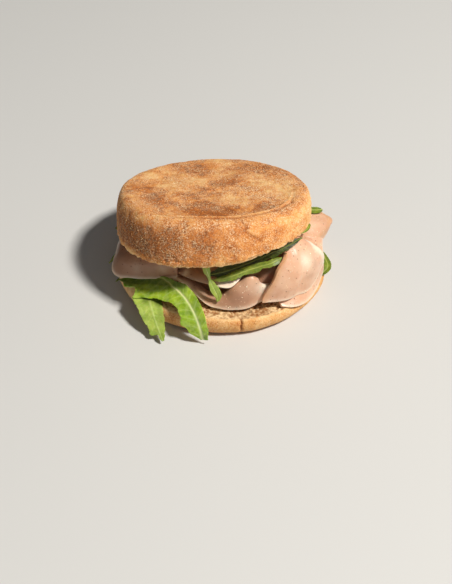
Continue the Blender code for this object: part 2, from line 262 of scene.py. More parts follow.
class Recipe:
    """Node tree of one Principled material, opened for writing."""

    def __init__(self, name: str) -> None:
        """Start a material of that name.

        Args:
            name: The name.
        """
        self.material = bpy.data.materials.new(name)
        self.material.use_nodes = True
        self.tree = self.material.node_tree
        self.shader = self.tree.nodes["Principled BSDF"]

    def node(self, kind: str, settings: dict, inputs: dict, output: int | str = 0) -> Signal:
        """Add a node.

        Args:
            kind: The node's type.
            settings: Properties set before the sockets; stops are a colour ramp's.
            inputs: Values or signals by socket name or number.
            output: Socket that the signal reads.

        Returns:
            The node's output.
        """
        node = self.tree.nodes.new(kind)
        for key, value in settings.items():
            if key == "stops":
                self.set_stops(node.color_ramp, value)
            else:
                setattr(node, key, value)
        for key, value in inputs.items():
            self.feed(node.inputs[key], value)
        return Signal(self, node.outputs[output])

    def set_stops(self, ramp: bpy.types.ColorRamp, stops: Sequence[tuple[float, Colour]]) -> None:
        """Give a colour ramp its (place, colour) stops.

        Args:
            ramp: The ramp.
            stops: The stops, by rising place.
        """
        while len(ramp.elements) < len(stops):
            ramp.elements.new(1.0)
        for element, (place, colour) in zip(ramp.elements, stops):
            element.position = place
            element.color = (*colour, 1.0)

    def feed(self, socket: bpy.types.NodeSocket, value: "Signal | float | Colour") -> None:
        """Link a signal to a socket, or set the socket's own value.

        Args:
            socket: The socket.
            value: The signal or the value.
        """
        if isinstance(value, Signal):
            self.tree.links.new(value.socket, socket)
        elif isinstance(value, tuple) and socket.type == "RGBA":
            socket.default_value = (*value, 1.0)
        else:
            socket.default_value = value

    def math(self, operation: str, a: "Signal | float", b: "Signal | float" = 0.0) -> Signal:
        """Add a Math node of one operation."""
        return self.node("ShaderNodeMath", {"operation": operation}, {0: a, 1: b})

    def place(self) -> Signal:
        """Object coordinates, in metres."""
        return self.node("ShaderNodeTexCoord", {}, {}, "Object")

    def noise(self, size: float, detail: float = 2.0, rough: float = 0.5, warp: float = 0.0) -> Signal:
        """Noise of a feature size in millimetres, about 0 to 1 around 0.5.

        Args:
            size: The feature size.
            detail: Number of finer layers.
            rough: Strength of each finer layer.
            warp: How far the pattern is bent.

        Returns:
            The noise.
        """
        return self.node("ShaderNodeTexNoise", {}, {
            "Vector": self.place(), "Scale": 1 / (size * MM), "Detail": detail,
            "Roughness": rough, "Distortion": warp})

    def cells(self, size: float) -> Signal:
        """Distance to the nearest of scattered points, for a spacing in millimetres."""
        return self.node("ShaderNodeTexVoronoi", {}, {"Vector": self.place(), "Scale": 1 / (size * MM)})

    def field(self, name: str) -> Signal:
        """Read a number that the mesh carries at its points."""
        return self.node("ShaderNodeAttribute", {"attribute_name": name}, {}, "Fac")

    def mix(self, share: "Signal | float", a: "Signal | Colour", b: "Signal | Colour",
            blend: str = "MIX") -> Signal:
        """Blend two colours."""
        settings = {"data_type": "RGBA", "blend_type": blend}
        return self.node("ShaderNodeMix", settings, {0: share, 6: a, 7: b}, 2)

    def tint(self, share: "Signal | float", a: "Signal | Colour", b: "Signal | Colour") -> Signal:
        """Multiply a colour by another, by a share."""
        return self.mix(share, a, b, "MULTIPLY")

    def finish(self, colour: Signal, roughness: Signal, relief: Signal, depth: float,
               constants: dict) -> bpy.types.Material:
        """Feed the shader.

        Args:
            colour: Base colour.
            roughness: Roughness.
            relief: Height of the fine relief, 0 to 1.
            depth: Height in millimetres that a relief of 1 stands for.
            constants: Values of the shader's own sockets, the same all over.

        Returns:
            The finished material.
        """
        bump = self.node("ShaderNodeBump", {}, {"Height": relief, "Distance": depth * MM, "Strength": 1.0})
        links = {"Base Color": colour, "Roughness": roughness, "Normal": bump}
        for name, value in {**links, **constants}.items():
            self.feed(self.shader.inputs[name], value)
        return self.material


# ---------------------------------------------------------------- finishes


@dataclass(frozen=True)
class CrustFinish:
    """Dry griddled crust: pale dough, toasted patches, flour grains and open pores, with painted shade in
    the pores, groove, creases, crack and crumb holes.
    """

    name: str
    pale: Colour = (0.85, 0.49, 0.18)
    golden: Colour = (0.71, 0.272, 0.062)
    toasted: Colour = (0.51, 0.155, 0.030)
    charred: Colour = (0.22, 0.07, 0.02)
    flour: Colour = (0.98, 0.74, 0.45)
    crumb: Colour = (0.84, 0.60, 0.30)
    crumb_deep: Colour = (0.48, 0.24, 0.08)
    pore_shade_tint: Colour = (0.40, 0.22, 0.13)
    seam_shade_tint: Colour = (0.42, 0.25, 0.16)

    def material(self) -> bpy.types.Material:
        """Build the material.

        Returns:
            The finished material.
        """
        recipe = Recipe(self.name)
        mottle = recipe.noise(2.2, 4.0, 0.7, 0.5)
        freckle = recipe.noise(0.75, 2.0, 0.6)
        toast = recipe.field("toast") + (mottle - 0.5) * 1.05 + (freckle - 0.5) * 0.8
        base = recipe.node("ShaderNodeValToRGB", {"stops": [
            (0.0, self.pale), (0.38, self.golden), (0.72, self.toasted), (1.0, self.charred)]},
            {"Fac": toast.clamp()})
        dust = recipe.noise(0.62, 3.0, 0.7)
        dusted = dust.step(0.47, 0.62) * (recipe.field("flour") + (mottle - 0.5) * 1.1)
        base = recipe.mix(dusted.clamp(), base, self.flour)
        # Pores are darkened: painted shade in the pits.
        pore = recipe.cells(1.3).step(0.26, 0.12) * recipe.noise(3.4).step(0.48, 0.62)
        base = recipe.tint(pore * 0.7, base, self.pore_shade_tint)
        # The ring groove, creases and crack are darkened: painted shade.
        base = recipe.tint(recipe.field("seam_shade").clamp(), base, self.seam_shade_tint)
        # The crumb darkens in its holes and under the ham: painted shade, with random tone.
        deep = (recipe.field("crumb_tone_and_shade") + (freckle - 0.5) * 0.9).clamp()
        inner = recipe.mix(deep, self.crumb, self.crumb_deep)
        colour = recipe.mix(recipe.field("open"), base, inner)
        relief = freckle * 0.5 + dust * 0.5 - pore * 0.5
        return recipe.finish(colour, 0.74 + 0.2 * freckle, relief, 0.3, {
            "Subsurface Weight": 0.05, "Subsurface Radius": (1.0, 0.5, 0.25),
            "Subsurface Scale": 0.0012, "Specular IOR Level": 0.3})


@dataclass(frozen=True)
class HamFinish:
    """Moist cooked ham: peach pink meat, darker meat, fatty white edges, tan skin and fine pores; the
    darker meat, tan skin and pores are partly painted shade, the white partly painted highlight.
    """

    name: str
    meat: Colour = (0.78, 0.485, 0.312)
    deep: Colour = (0.70, 0.385, 0.235)
    pale: Colour = (0.86, 0.66, 0.50)
    lean_and_shade: Colour = (0.39, 0.195, 0.11)
    fat_and_highlight: Colour = (0.93, 0.77, 0.60)
    rind_and_shade: Colour = (0.66, 0.34, 0.15)
    pore_shade_tint: Colour = (0.42, 0.24, 0.16)

    def material(self) -> bpy.types.Material:
        """Build the material.

        Returns:
            The finished material.
        """
        recipe = Recipe(self.name)
        cloud = recipe.noise(9.0, 3.0, 0.55, 0.5)
        fibre = recipe.noise(1.6, 3.0, 0.6)
        base = recipe.mix(cloud.step(0.34, 0.68), self.meat, self.deep)
        base = recipe.mix(recipe.noise(7.0, 2.0, 0.5, 0.6).step(0.60, 0.78) * 0.5, base, self.pale)
        base = recipe.mix((fibre - 0.45) * 0.4, base, self.pale)
        # Darker meat, partly painted shade under the crown and between the slices.
        base = recipe.mix((recipe.field("lean_and_shade") * (0.6 + 0.8 * cloud)).clamp(), base, self.lean_and_shade)
        # Pores are darkened: painted shade in the pits.
        pore = recipe.cells(2.3).step(0.16, 0.10)
        base = recipe.tint(pore * 0.8, base, self.pore_shade_tint)
        # Pale edges and spots: fatty white, partly painted highlights.
        base = recipe.mix((recipe.field("fat_and_highlight") * (0.7 + 0.5 * fibre)).clamp(), base, self.fat_and_highlight)
        # Tan band at some edges: skin, partly painted shade where a fold turns away from the light.
        band = (recipe.field("rind_and_shade") * (0.7 + 0.6 * fibre)).clamp()
        colour = recipe.mix(band, base, self.rind_and_shade)
        relief = fibre * 0.5 + recipe.noise(0.7, 1.0) * 0.25 - pore * 0.8
        return recipe.finish(colour, 0.32 + 0.24 * cloud, relief, 0.14, {
            "Subsurface Weight": 0.16, "Subsurface Radius": (1.0, 0.42, 0.28),
            "Subsurface Scale": 0.0016, "Coat Weight": 0.2, "Coat Roughness": 0.3,
            "Specular IOR Level": 0.5})


class Tone(Enum):
    """Green of a rocket leaf: of a young one, of its paler under face, of a grown one, and a near-black
    green that is painted shade.
    """

    YOUNG = "young"
    UNDER = "under"
    GROWN = "grown"
    OLD = "shaded"


@dataclass(frozen=True)
class RocketFinish:
    """Rocket leaf: fresh green blade, pale midrib and side veins, a soft waxy shine."""

    name: str
    tone: Tone
    painted_shade_tint: Colour = (0.36, 0.36, 0.14)

    def greens(self) -> tuple[Colour, Colour, Colour]:
        """Dark, light and vein colours.

        Returns:
            The three colours.
        """
        return {
            Tone.YOUNG: ((0.19, 0.33, 0.010), (0.44, 0.61, 0.032), (0.88, 0.97, 0.45)),
            Tone.UNDER: ((0.26, 0.37, 0.04), (0.48, 0.59, 0.100), (0.64, 0.73, 0.28)),
            Tone.GROWN: ((0.10, 0.155, 0.008), (0.235, 0.30, 0.018), (0.42, 0.48, 0.10)),
            # Near-black green: painted shade under the crown's lip.
            Tone.OLD: ((0.018, 0.030, 0.003), (0.065, 0.09, 0.009), (0.20, 0.24, 0.05)),
        }[self.tone]

    def material(self) -> bpy.types.Material:
        """Build the material.

        Returns:
            The finished material.
        """
        recipe = Recipe(self.name)
        dark, light, vein = self.greens()
        cloud = recipe.noise(5.0, 3.0, 0.55, 0.4)
        cell = recipe.noise(0.8, 2.0, 0.6)
        base = recipe.mix((cloud.step(0.32, 0.7) * 0.8 + (cell - 0.5) * 0.5).clamp(), dark, light)
        net = recipe.cells(2.0)
        base = recipe.mix(net.step(0.42, 0.62) * 0.10, base, vein)
        base = recipe.mix((recipe.field("vein") * 0.24).clamp(), base, vein)
        colour = recipe.mix(recipe.field("rib"), base, vein)
        # Painted shade: the blots darken the leaf where a shadow falls on it.
        colour = recipe.tint(recipe.field("painted_shade") * 0.8, colour, self.painted_shade_tint)
        relief = cell * 0.35 - net.step(0.4, 0.65) * 0.4 + recipe.field("rib") * 0.3
        return recipe.finish(colour, 0.42 + 0.2 * cell, relief, 0.10, {
            "Subsurface Weight": 0.25, "Subsurface Radius": (0.5, 1.0, 0.2),
            "Subsurface Scale": 0.0012, "Coat Weight": 0.08, "Coat Roughness": 0.3})


@dataclass(frozen=True)
class GrainFinish:
    """Loose dry grains: cornmeal and crumbs."""

    name: str
    light: Colour = (0.96, 0.69, 0.37)
    dark: Colour = (0.82, 0.46, 0.16)

    def material(self) -> bpy.types.Material:
        """Build the material.

        Returns:
            The finished material.
        """
        recipe = Recipe(self.name)
        tone = recipe.noise(1.2, 2.0)
        colour = recipe.mix(tone.step(0.35, 0.65), self.light, self.dark)
        return recipe.finish(colour, 0.7 + 0.2 * tone, recipe.noise(0.2), 0.03, {})


@dataclass(frozen=True)
class FloorFinish:
    """Plain pale studio floor."""

    name: str
    tone: Colour = (0.66, 0.66, 0.64)
    cloudy: Colour = (0.68, 0.68, 0.66)

    def material(self) -> bpy.types.Material:
        """Build the material.

        Returns:
            The finished material.
        """
        recipe = Recipe(self.name)
        cloud = recipe.noise(300.0, 2.0)
        colour = recipe.mix(cloud * 0.2, self.tone, self.cloudy)
        return recipe.finish(colour, 0.6 + 0.1 * cloud, cloud, 0.05, {})


# ---------------------------------------------------------------- meshes


@dataclass
class Piece:
    """One visible piece: a mesh in millimetres with its finish and the solid that it stands for.

    A thickness makes a sheet of it, with edges sharper than rounded_above softened by the share
    rounding of that thickness.  sharp is the least angle in degrees that shades as an edge.
    """

    name: str
    form: bmesh.types.BMesh
    material: bpy.types.Material
    slot: str
    node: str | None = None
    thickness: float = 0.0
    sharp: float = 50.0
    rounding: float = 0.22
    rounded_above: float = 60.0

    def place(self) -> bpy.types.Object:
        """Turn the mesh into an object of the scene, in metres, riding on the muffin's body.

        Returns:
            The object.
        """
        mesh = bpy.data.meshes.new(self.name)
        bmesh.ops.scale(self.form, vec=(MM, MM, MM), verts=self.form.verts)
        self.form.to_mesh(mesh)
        self.form.free()
        mesh.shade_smooth()
        mesh.set_sharp_from_angle(angle=math.radians(self.sharp))
        piece = bpy.data.objects.new(self.name, mesh)
        bpy.context.scene.collection.objects.link(piece)
        mesh.materials.append(self.material)
        if self.thickness:
            self.thicken(piece)
        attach(piece, BODY)
        if self.node:
            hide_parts(self.node)
        LOG.info("%s: %d faces", self.name, len(mesh.polygons))
        return piece

    def thicken(self, piece: bpy.types.Object) -> None:
        """Give a sheet its thickness, with a softened cut edge.

        Args:
            piece: The sheet's object.
        """
        solidify = piece.modifiers.new("thickness", "SOLIDIFY")
        solidify.thickness = self.thickness * MM
        solidify.offset = 0.0
        solidify.use_even_offset = True
        soften = piece.modifiers.new("soft edge", "BEVEL")
        soften.width = self.thickness * self.rounding * MM
        soften.segments = 2
        soften.limit_method = "ANGLE"
        soften.angle_limit = math.radians(self.rounded_above)


def even_profile(corners: Pairs, spacing: float) -> list[tuple[float, float]]:
    """Points at about equal spacing along a profile's corners.

    Args:
        corners: (radius, height) corners.
        spacing: Distance between points in millimetres.

    Returns:
        The points as (radius, height) pairs.
    """
    line = [Vector((radius, height, 0.0)) for radius, height in corners]
    length = sum((b - a).length for a, b in zip(line, line[1:]))
    points = even_spacing(line, max(int(length / spacing), 2) + 1)
    return [(max(point.x, 0.0), point.y) for point in points]


def laid(columns: int, rows: int, place: Callable[[int, int], Vector]) -> bmesh.types.BMesh:
    """Lay a grid over a surface.

    Args:
        columns: Points along the surface.
        rows: Points across it.
        place: Gives the place of a point from its column and row.

    Returns:
        The sheet, its points in order of rows, then columns.
    """
    form = bmesh.new()
    bmesh.ops.create_grid(form, x_segments=columns - 1, y_segments=rows - 1, size=1.0)
    for vert in form.verts:
        column = round((vert.co.x + 1) / 2 * (columns - 1))
        row = round((vert.co.y + 1) / 2 * (rows - 1))
        vert.index = row * columns + column
        vert.co = place(column, row)
    form.verts.sort()
    bmesh.ops.recalc_face_normals(form, faces=form.faces)
    return form


def turned(profile: Pairs, columns: int) -> bmesh.types.BMesh:
    """Turn a (radius, height) profile, bottom to top, into a closed round.

    Args:
        profile: The profile.
        columns: Points round the middle.

    Returns:
        The round.
    """
    def place(column: int, row: int) -> Vector:
        """Place of a point on the round.

        Args:
            column: Its number round the middle.
            row: Its number along the profile.

        Returns:
            The place.
        """
        turn = math.tau * column / columns
        radius, height = profile[row]
        return Vector((radius * math.cos(turn), radius * math.sin(turn), height))

    form = laid(columns + 1, len(profile), place)
    bmesh.ops.remove_doubles(form, verts=form.verts, dist=MERGE_GAP)
    bmesh.ops.recalc_face_normals(form, faces=form.faces)
    return form


def carry(form: bmesh.types.BMesh, fields: dict[str, Callable[[bmesh.types.BMVert], float]]) -> None:
    """Write numbers for the material onto a mesh's points, one function a name.

    Args:
        form: The mesh.
        fields: Gives the number at a point, by name.
    """
    for name, value in fields.items():
        layer = form.verts.layers.float.new(name)
        for vert in form.verts:
            vert[layer] = value(vert)


# ---------------------------------------------------------------- bread


TOASTED_SPOTS = (
    # across, back, width and strength of the browned spots on the griddled disc; pale spots are negative
    (-36.7, 0.6, 9.0, 0.26), (-31.0, -9.0, 7.0, 0.18), (-23.9, -15.2, 6.5, 0.38), (-2.7, -19.0, 6.0, 0.30),
    (-12.0, -27.0, 8.0, 0.32), (-2.0, -29.0, 7.0, 0.30), (7.0, -27.4, 7.0, 0.34), (17.0, -24.0, 5.5, 0.34),
    (22.0, -21.5, 4.5, 0.30), (3.0, 4.0, 6.0, 0.30), (10.0, 9.5, 5.5, 0.30), (-12.4, 31.3, 8.5, 0.36),
    (-3.0, 33.0, 6.0, 0.2), (25.0, 28.5, 8.0, 0.38), (13.0, 31.0, 6.0, 0.24), (26.2, 1.9, 11.0, -0.30),
    (13.0, -10.4, 7.0, -0.14), (0.3, 21.6, 8.0, -0.12), (-22.3, 5.7, 7.0, -0.12), (36.0, -14.0, 6.0, -0.18),
)


class Spot(NamedTuple):
    """A place on a half of the muffin, before the half is bent and roughened.

    above is the share of the way up; on the heel it is 1 on the cut face and 0 below its lip.
    """

    point: Vector
    angle: float
    reach: float
    above: float


def shape_half(form: bmesh.types.BMesh, bend: Callable[[Vector], tuple[Spot, Place]],
               relief: Callable[[Spot], float], fields: dict[str, Callable[[Spot], float]]) -> None:
    """Bend a turned half, roughen it along its normals and write its numbers for the material.

    Args:
        form: The turned half.
        bend: Gives the spot that a point lies at, and its new place.
        relief: Height of the surface detail at a spot.
        fields: Numbers for the material at a spot, by name.
    """
    spots = []
    for vert in form.verts:
        spot, vert.co = bend(vert.co)
        spots.append(spot)
    form.normal_update()
    for vert, spot in zip(form.verts, spots):
        vert.co += vert.normal * relief(spot)
    for name, value in fields.items():
        layer = form.verts.layers.float.new(name)
        for vert, spot in zip(form.verts, spots):
            vert[layer] = value(spot)


@dataclass
class Crown:
    """Upper half: a griddled disc in a raised ring, a swelling side and a sloping cut face."""

    centre: Place = (-3.1, 0.1, 29.3)
    tilt: float = -14.4
    thickness: float = 20.1
    cut_slope: float = 0.107
    top_slope: float = -0.03
    radius: float = 49.5
    shoulder_start: float = 40.3
    swell_height: float = 3.0
    shoulder_power: float = 0.5
    front_slack: float = 0.75
    ring_radius: float = 36.15
    ring_waves: Triples = ((1, 4.75, -81), (2, 2.6, 21), (3, 1.2, -82), (9, 0.12, 20))
    outline_waves: Triples = ((2, 0.15, 80), (3, 0.3, 200), (5, 0.2, 60))
    height_waves: Triples = ((2, 0.2, 30), (3, 0.15, 140), (7, 0.08, 0))
    lip_bumps: Triples = ((-50, 16, 1.2), (-92, 22, -0.7), (-12, 18, -0.9), (-170, 15, 0.5))
    crease_lines: Sequence[Pairs] = (((-72.7, 21.5), (-71.2, 19.4), (-70.0, 17.2)),
                                     ((-72, 16.9), (-69, 14.5), (-66, 12.9), (-62, 9.6)))
    columns: int = 470
    spacing: float = 0.5

    def profile(self) -> list[tuple[float, float]]:
        """Closed profile: cut face, rounded lip, full shoulder, raised ring and flat disc.

        Returns:
            (radius, height) points.
        """
        top, start = self.thickness, self.shoulder_start
        corners = [(0.0, 0.5), (22.0, 0.4), (40.0, 0.2), (45.2, 0.0), (46.8, 0.15), (48.2, 0.75),
                   (49.0, 1.7)]
        for step in range(37):
            turn = math.radians(90 * step / 36)
            across = max(math.cos(turn), 0.0) ** self.shoulder_power
            up = math.sin(turn) ** self.shoulder_power
            corners.append((start + (self.radius - start) * across,
                            self.swell_height + (top - self.swell_height) * up))
        corners += [(start - 2.4, top - 0.15), (start - 8.0, top - 0.5), (18.0, top - 0.3),
                    (0.0, top - 0.4)]
        return even_profile(corners[:3], 2 * self.spacing)[:-1] + even_profile(corners[2:], self.spacing)

    def slacken(self, reach: float, height: float, angle: float) -> tuple[float, float]:
        """Let the full shoulder fall away more softly towards the front.

        Args:
            reach: Distance from the axis.
            height: Height above the cut face.
            angle: Direction in degrees.

        Returns:
            The new reach and height.
        """
        start, swell = self.shoulder_start, self.swell_height
        if reach <= start or height < swell:
            return reach, height
        power = 1 + self.front_slack * bumps(angle, ((-90, 55, 1.0),))
        across = (reach - start) / (self.radius - start)
        up = (height - swell) / (self.thickness - swell)
        return (start + (self.radius - start) * across ** power,
                swell + (self.thickness - swell) * up ** power)

    def bend(self, place: Vector) -> tuple[Spot, Place]:
        """Slope, slacken and dent the turned shape at one point.

        Args:
            place: The point.

        Returns:
            Its spot and its new place.
        """
        x, y, z = place
        angle = math.degrees(math.atan2(y, x))
        reach, z = self.slacken(math.hypot(x, y), z, angle)
        turn = math.radians(angle)
        x, y = reach * math.cos(turn), reach * math.sin(turn)
        above = z / self.thickness
        spot = Spot(Vector((x, y, z)), angle, reach, above)
        grow = 1 + waves(angle, self.outline_waves) / self.radius
        slope = self.cut_slope * x * (1 - above) + self.top_slope * y * above
        lip = bumps(angle, self.lip_bumps) * (1 - above) * ease(30, 46, reach)
        uneven = waves(angle, self.height_waves) * above + lip
        return spot, (x * grow, y * grow, z + slope + uneven + self.ring(spot))

    def ring_gap(self, spot: Spot) -> float:
        """Distance outwards from the ring that the griddled disc ends at."""
        return spot.reach - self.ring_radius - waves(spot.angle, self.ring_waves)

    def ring_crispness(self, angle: float) -> float:
        """How sharp the ring is: 1 along the front and right, faint at the back and left."""
        return 0.10 + 0.95 * min(bumps(angle, ((-104, 18, 0.7), (-80, 20, 0.7), (-50, 24, 0.95))), 1.0)

    def ring(self, spot: Spot) -> float:
        """Height of the ring: a low bank inside a narrow groove, then a soft swelling outside it.

        Args:
            spot: Place on the half.

        Returns:
            The height in millimetres.
        """
        if spot.above < 0.5:
            return 0.0
        away = self.ring_gap(spot)
        bank = 0.62 * peak(away + 1.2, 0.9) - 1.5 * peak(away, 0.7) + 0.45 * peak(away - 2.3, 1.7)
        dimple = -0.9 * peak(away, 1.3) * bumps(spot.angle, ((-24, 2.4, 1.0),))
        return (bank * self.ring_crispness(spot.angle) + dimple) * ease(0.6, 0.8, spot.above)

    def creases(self, spot: Spot) -> float:
        """Depth of the short creases that run down from the ring and across the front, 0 to 1.

        Args:
            spot: Place on the half.

        Returns:
            The depth.
        """
        angle, height = spot.angle, spot.point.z
        if not (-80 < angle < -52 and 4 < height):
            return 0.0
        round_it = math.radians(self.radius - 2)
        depth = 0.0
        for line in self.crease_lines:
            for (a, low), (b, high) in zip(line, line[1:]):
                across, rise = (b - a) * round_it, high - low
                here = (angle - a) * round_it
                share = (here * across + (height - low) * rise) / (across * across + rise * rise)
                share = min(max(share, 0.0), 1.0)
                gap = math.hypot(here - share * across, height - low - share * rise)
                depth = max(depth, peak(gap, 0.45))
        return depth * ease(39.5, 42.0, spot.reach)

    def seam_shade(self, spot: Spot) -> float:
        """Painted shade in the groove and the creases, and one small dark dot.

        Args:
            spot: Place on the half.

        Returns:
            The darkness.
        """
        groove = 1.25 * peak(self.ring_gap(spot) - 0.15, 0.75) * self.ring_crispness(spot.angle)
        dot = 0.8 * peak(math.hypot((spot.angle + 55) * 0.8, spot.point.z - 18.4), 0.7)
        return groove * ease(0.6, 0.8, spot.above) + 0.8 * self.creases(spot) + dot

    def relief(self, spot: Spot) -> float:
        """Height of the surface detail along the normal.

        Args:
            spot: Place on the half.

        Returns:
            The height in millimetres.
        """
        point, angle, reach, above = spot
        lift = 0.30 * grain(point, 10.0, 2, 3.0) + 0.16 * grain(point, 2.6, 2, 7.0)
        lift += 0.10 * grain(point, 1.1, 1, 11.0) - 0.32 - 0.34 * self.creases(spot)
        if above < 0.9:
            wrinkled = bumps(angle, ((-118, 22, 1.0),)) * peak(above - 0.2, 0.2)
            lift -= (0.14 + 0.35 * wrinkled) * pits(Vector((point.x, point.y, 1.6 * point.z)), 2.6, 5.0)
        if above < 0.3:
            lift += 0.5 * grain(point, 2.2, 2, 15.0) * ease(0.3, 0.15, above) * ease(46, 48.5, reach)
        if above < 0.2:
            torn = ease(0.2, 0.02, above) * ease(38, 45, reach)
            lift += torn * (0.6 * grain(point, 3.4, 2, 19.0) + 0.4 * grain(point, 1.5, 1, 23.0))
            inside = (1 - ease(44.5, 47.0, reach)) * (1 - ease(0.02, 0.08, above))
            if inside > 0:
                lift -= inside * (0.9 * pits(point, 4.0, 2.0) + 0.35 * pits(point, 1.9, 9.0))
        return lift

    def toast(self, spot: Spot) -> float:
        """How browned the crust is, 0 pale to 1 charred, partly painted shade on the left and painted light
        on the right.

        Args:
            spot: Place on the half.

        Returns:
            The browning.
        """
        point, angle, _, above = spot
        patch = 0.40 * grain(point, 12.0, 3, 31.0) + 0.34 * grain(point, 4.0, 3, 37.0)
        # Browner on the left and paler on the right: partly toasting, partly painted shade on the left and
        # painted light on the right.
        left = bumps(angle, ((-132, 24, 0.50), (-160, 26, 0.34))) * ease(1.02, 0.55, above)
        right = bumps(angle, ((-8, 42, 0.30), (60, 60, 0.18)))
        low = 0.12 * ease(0.35, 0.08, above) * bumps(angle, ((-95, 30, 1.0),))
        front = 0.30 * bumps(angle, ((-94, 26, 1.0),)) * peak(above - 0.6, 0.4)
        cream = bumps(angle, ((-152, 26, 1.0),)) * ease(0.30, 0.14, above)
        side = 0.42 + left - right - low + front + 0.7 * patch - 0.3 * ease(0.13, 0.02, above)
        side -= (0.35 + 0.9 * left) * cream
        return min(side + (self.disc_toast(spot, patch) - side) * ease(0.78, 0.97, above), 0.84)

    def disc_toast(self, spot: Spot, patch: float) -> float:
        """How browned the griddled disc is, with patch for its uneven baking and a paler bank inside the
        ring that is painted highlight.

        Args:
            spot: Place on the half.
            patch: Browning that the uneven baking adds.

        Returns:
            The browning.
        """
        point = spot.point
        x = point.x + 5.0 * grain(point, 5.0, 3, 51.0)
        y = point.y + 5.0 * grain(point, 5.0, 3, 57.0)
        # The bank inside the ring is paler: a painted highlight.
        bank = 0.3 * peak(self.ring_gap(spot) + 1.2, 0.8) * self.ring_crispness(spot.angle)
        browned = sum(size * peak(math.hypot(x - across, y - back), width)
                      for across, back, width, size in TOASTED_SPOTS)
        return 0.47 - bank + patch + browned

    def flour(self, spot: Spot) -> float:
        """Share of the surface that flour and cornmeal hide, more on the right side partly as painted
        light.

        Args:
            spot: Place on the half.

        Returns:
            The share.
        """
        point, angle, reach, above = spot
        on_disc = ease(0.8, 0.97, above)
        bare = 0.45 * bumps(angle, ((-92, 34, 1.0),)) * peak(reach - 31.0, 5.0)
        bare += 0.9 * sum(size * peak(math.hypot(point.x - x, point.y - y), 0.8 * width)
                          for x, y, width, size in TOASTED_SPOTS if size > 0)
        right = 0.25 * peak(math.hypot(point.x - 24, point.y - 2), 15)
        # More flour on the right side: partly painted light.
        right += 0.3 * bumps(angle, ((-8, 42, 1.0),)) * ease(0.97, 0.8, above)
        lip = 0.5 * ease(0.14, 0.02, above)
        return 0.42 + (0.24 - bare) * on_disc + right + lip + 0.45 * grain(point, 6.0, 3, 43.0)

    def opened(self, spot: Spot) -> float:
        """Share of the surface that is crumb: 1 on the cut face, 0 on the crust."""
        return (1 - ease(45.0, 47.5, spot.reach)) * (1 - ease(0.02, 0.06, spot.above))

    def crumb_tone_and_shade(self, spot: Spot) -> float:
        """How dark the crumb is, at random."""
        return 0.25 + 0.6 * grain(spot.point, 3.0, 2, 2.0)

    def build(self, material: bpy.types.Material) -> Piece:
        """Model the upper half.

        Args:
            material: Crust material.

        Returns:
            The piece.
        """
        form = turned(self.profile(), self.columns)
        # The darkening of the groove, creases and crumb written here is painted shade.
        shape_half(form, self.bend, self.relief, {
            "toast": self.toast, "flour": self.flour, "seam_shade": self.seam_shade, "open": self.opened,
            "crumb_tone_and_shade": self.crumb_tone_and_shade})
        lean_back = Euler((math.radians(self.tilt), 0, 0)).to_matrix().to_4x4()
        bmesh.ops.transform(form, matrix=Matrix.Translation(self.centre) @ lean_back, verts=form.verts)
        return Piece("muffin_crown", form, material, "crust", "muffin_top", sharp=70.0)


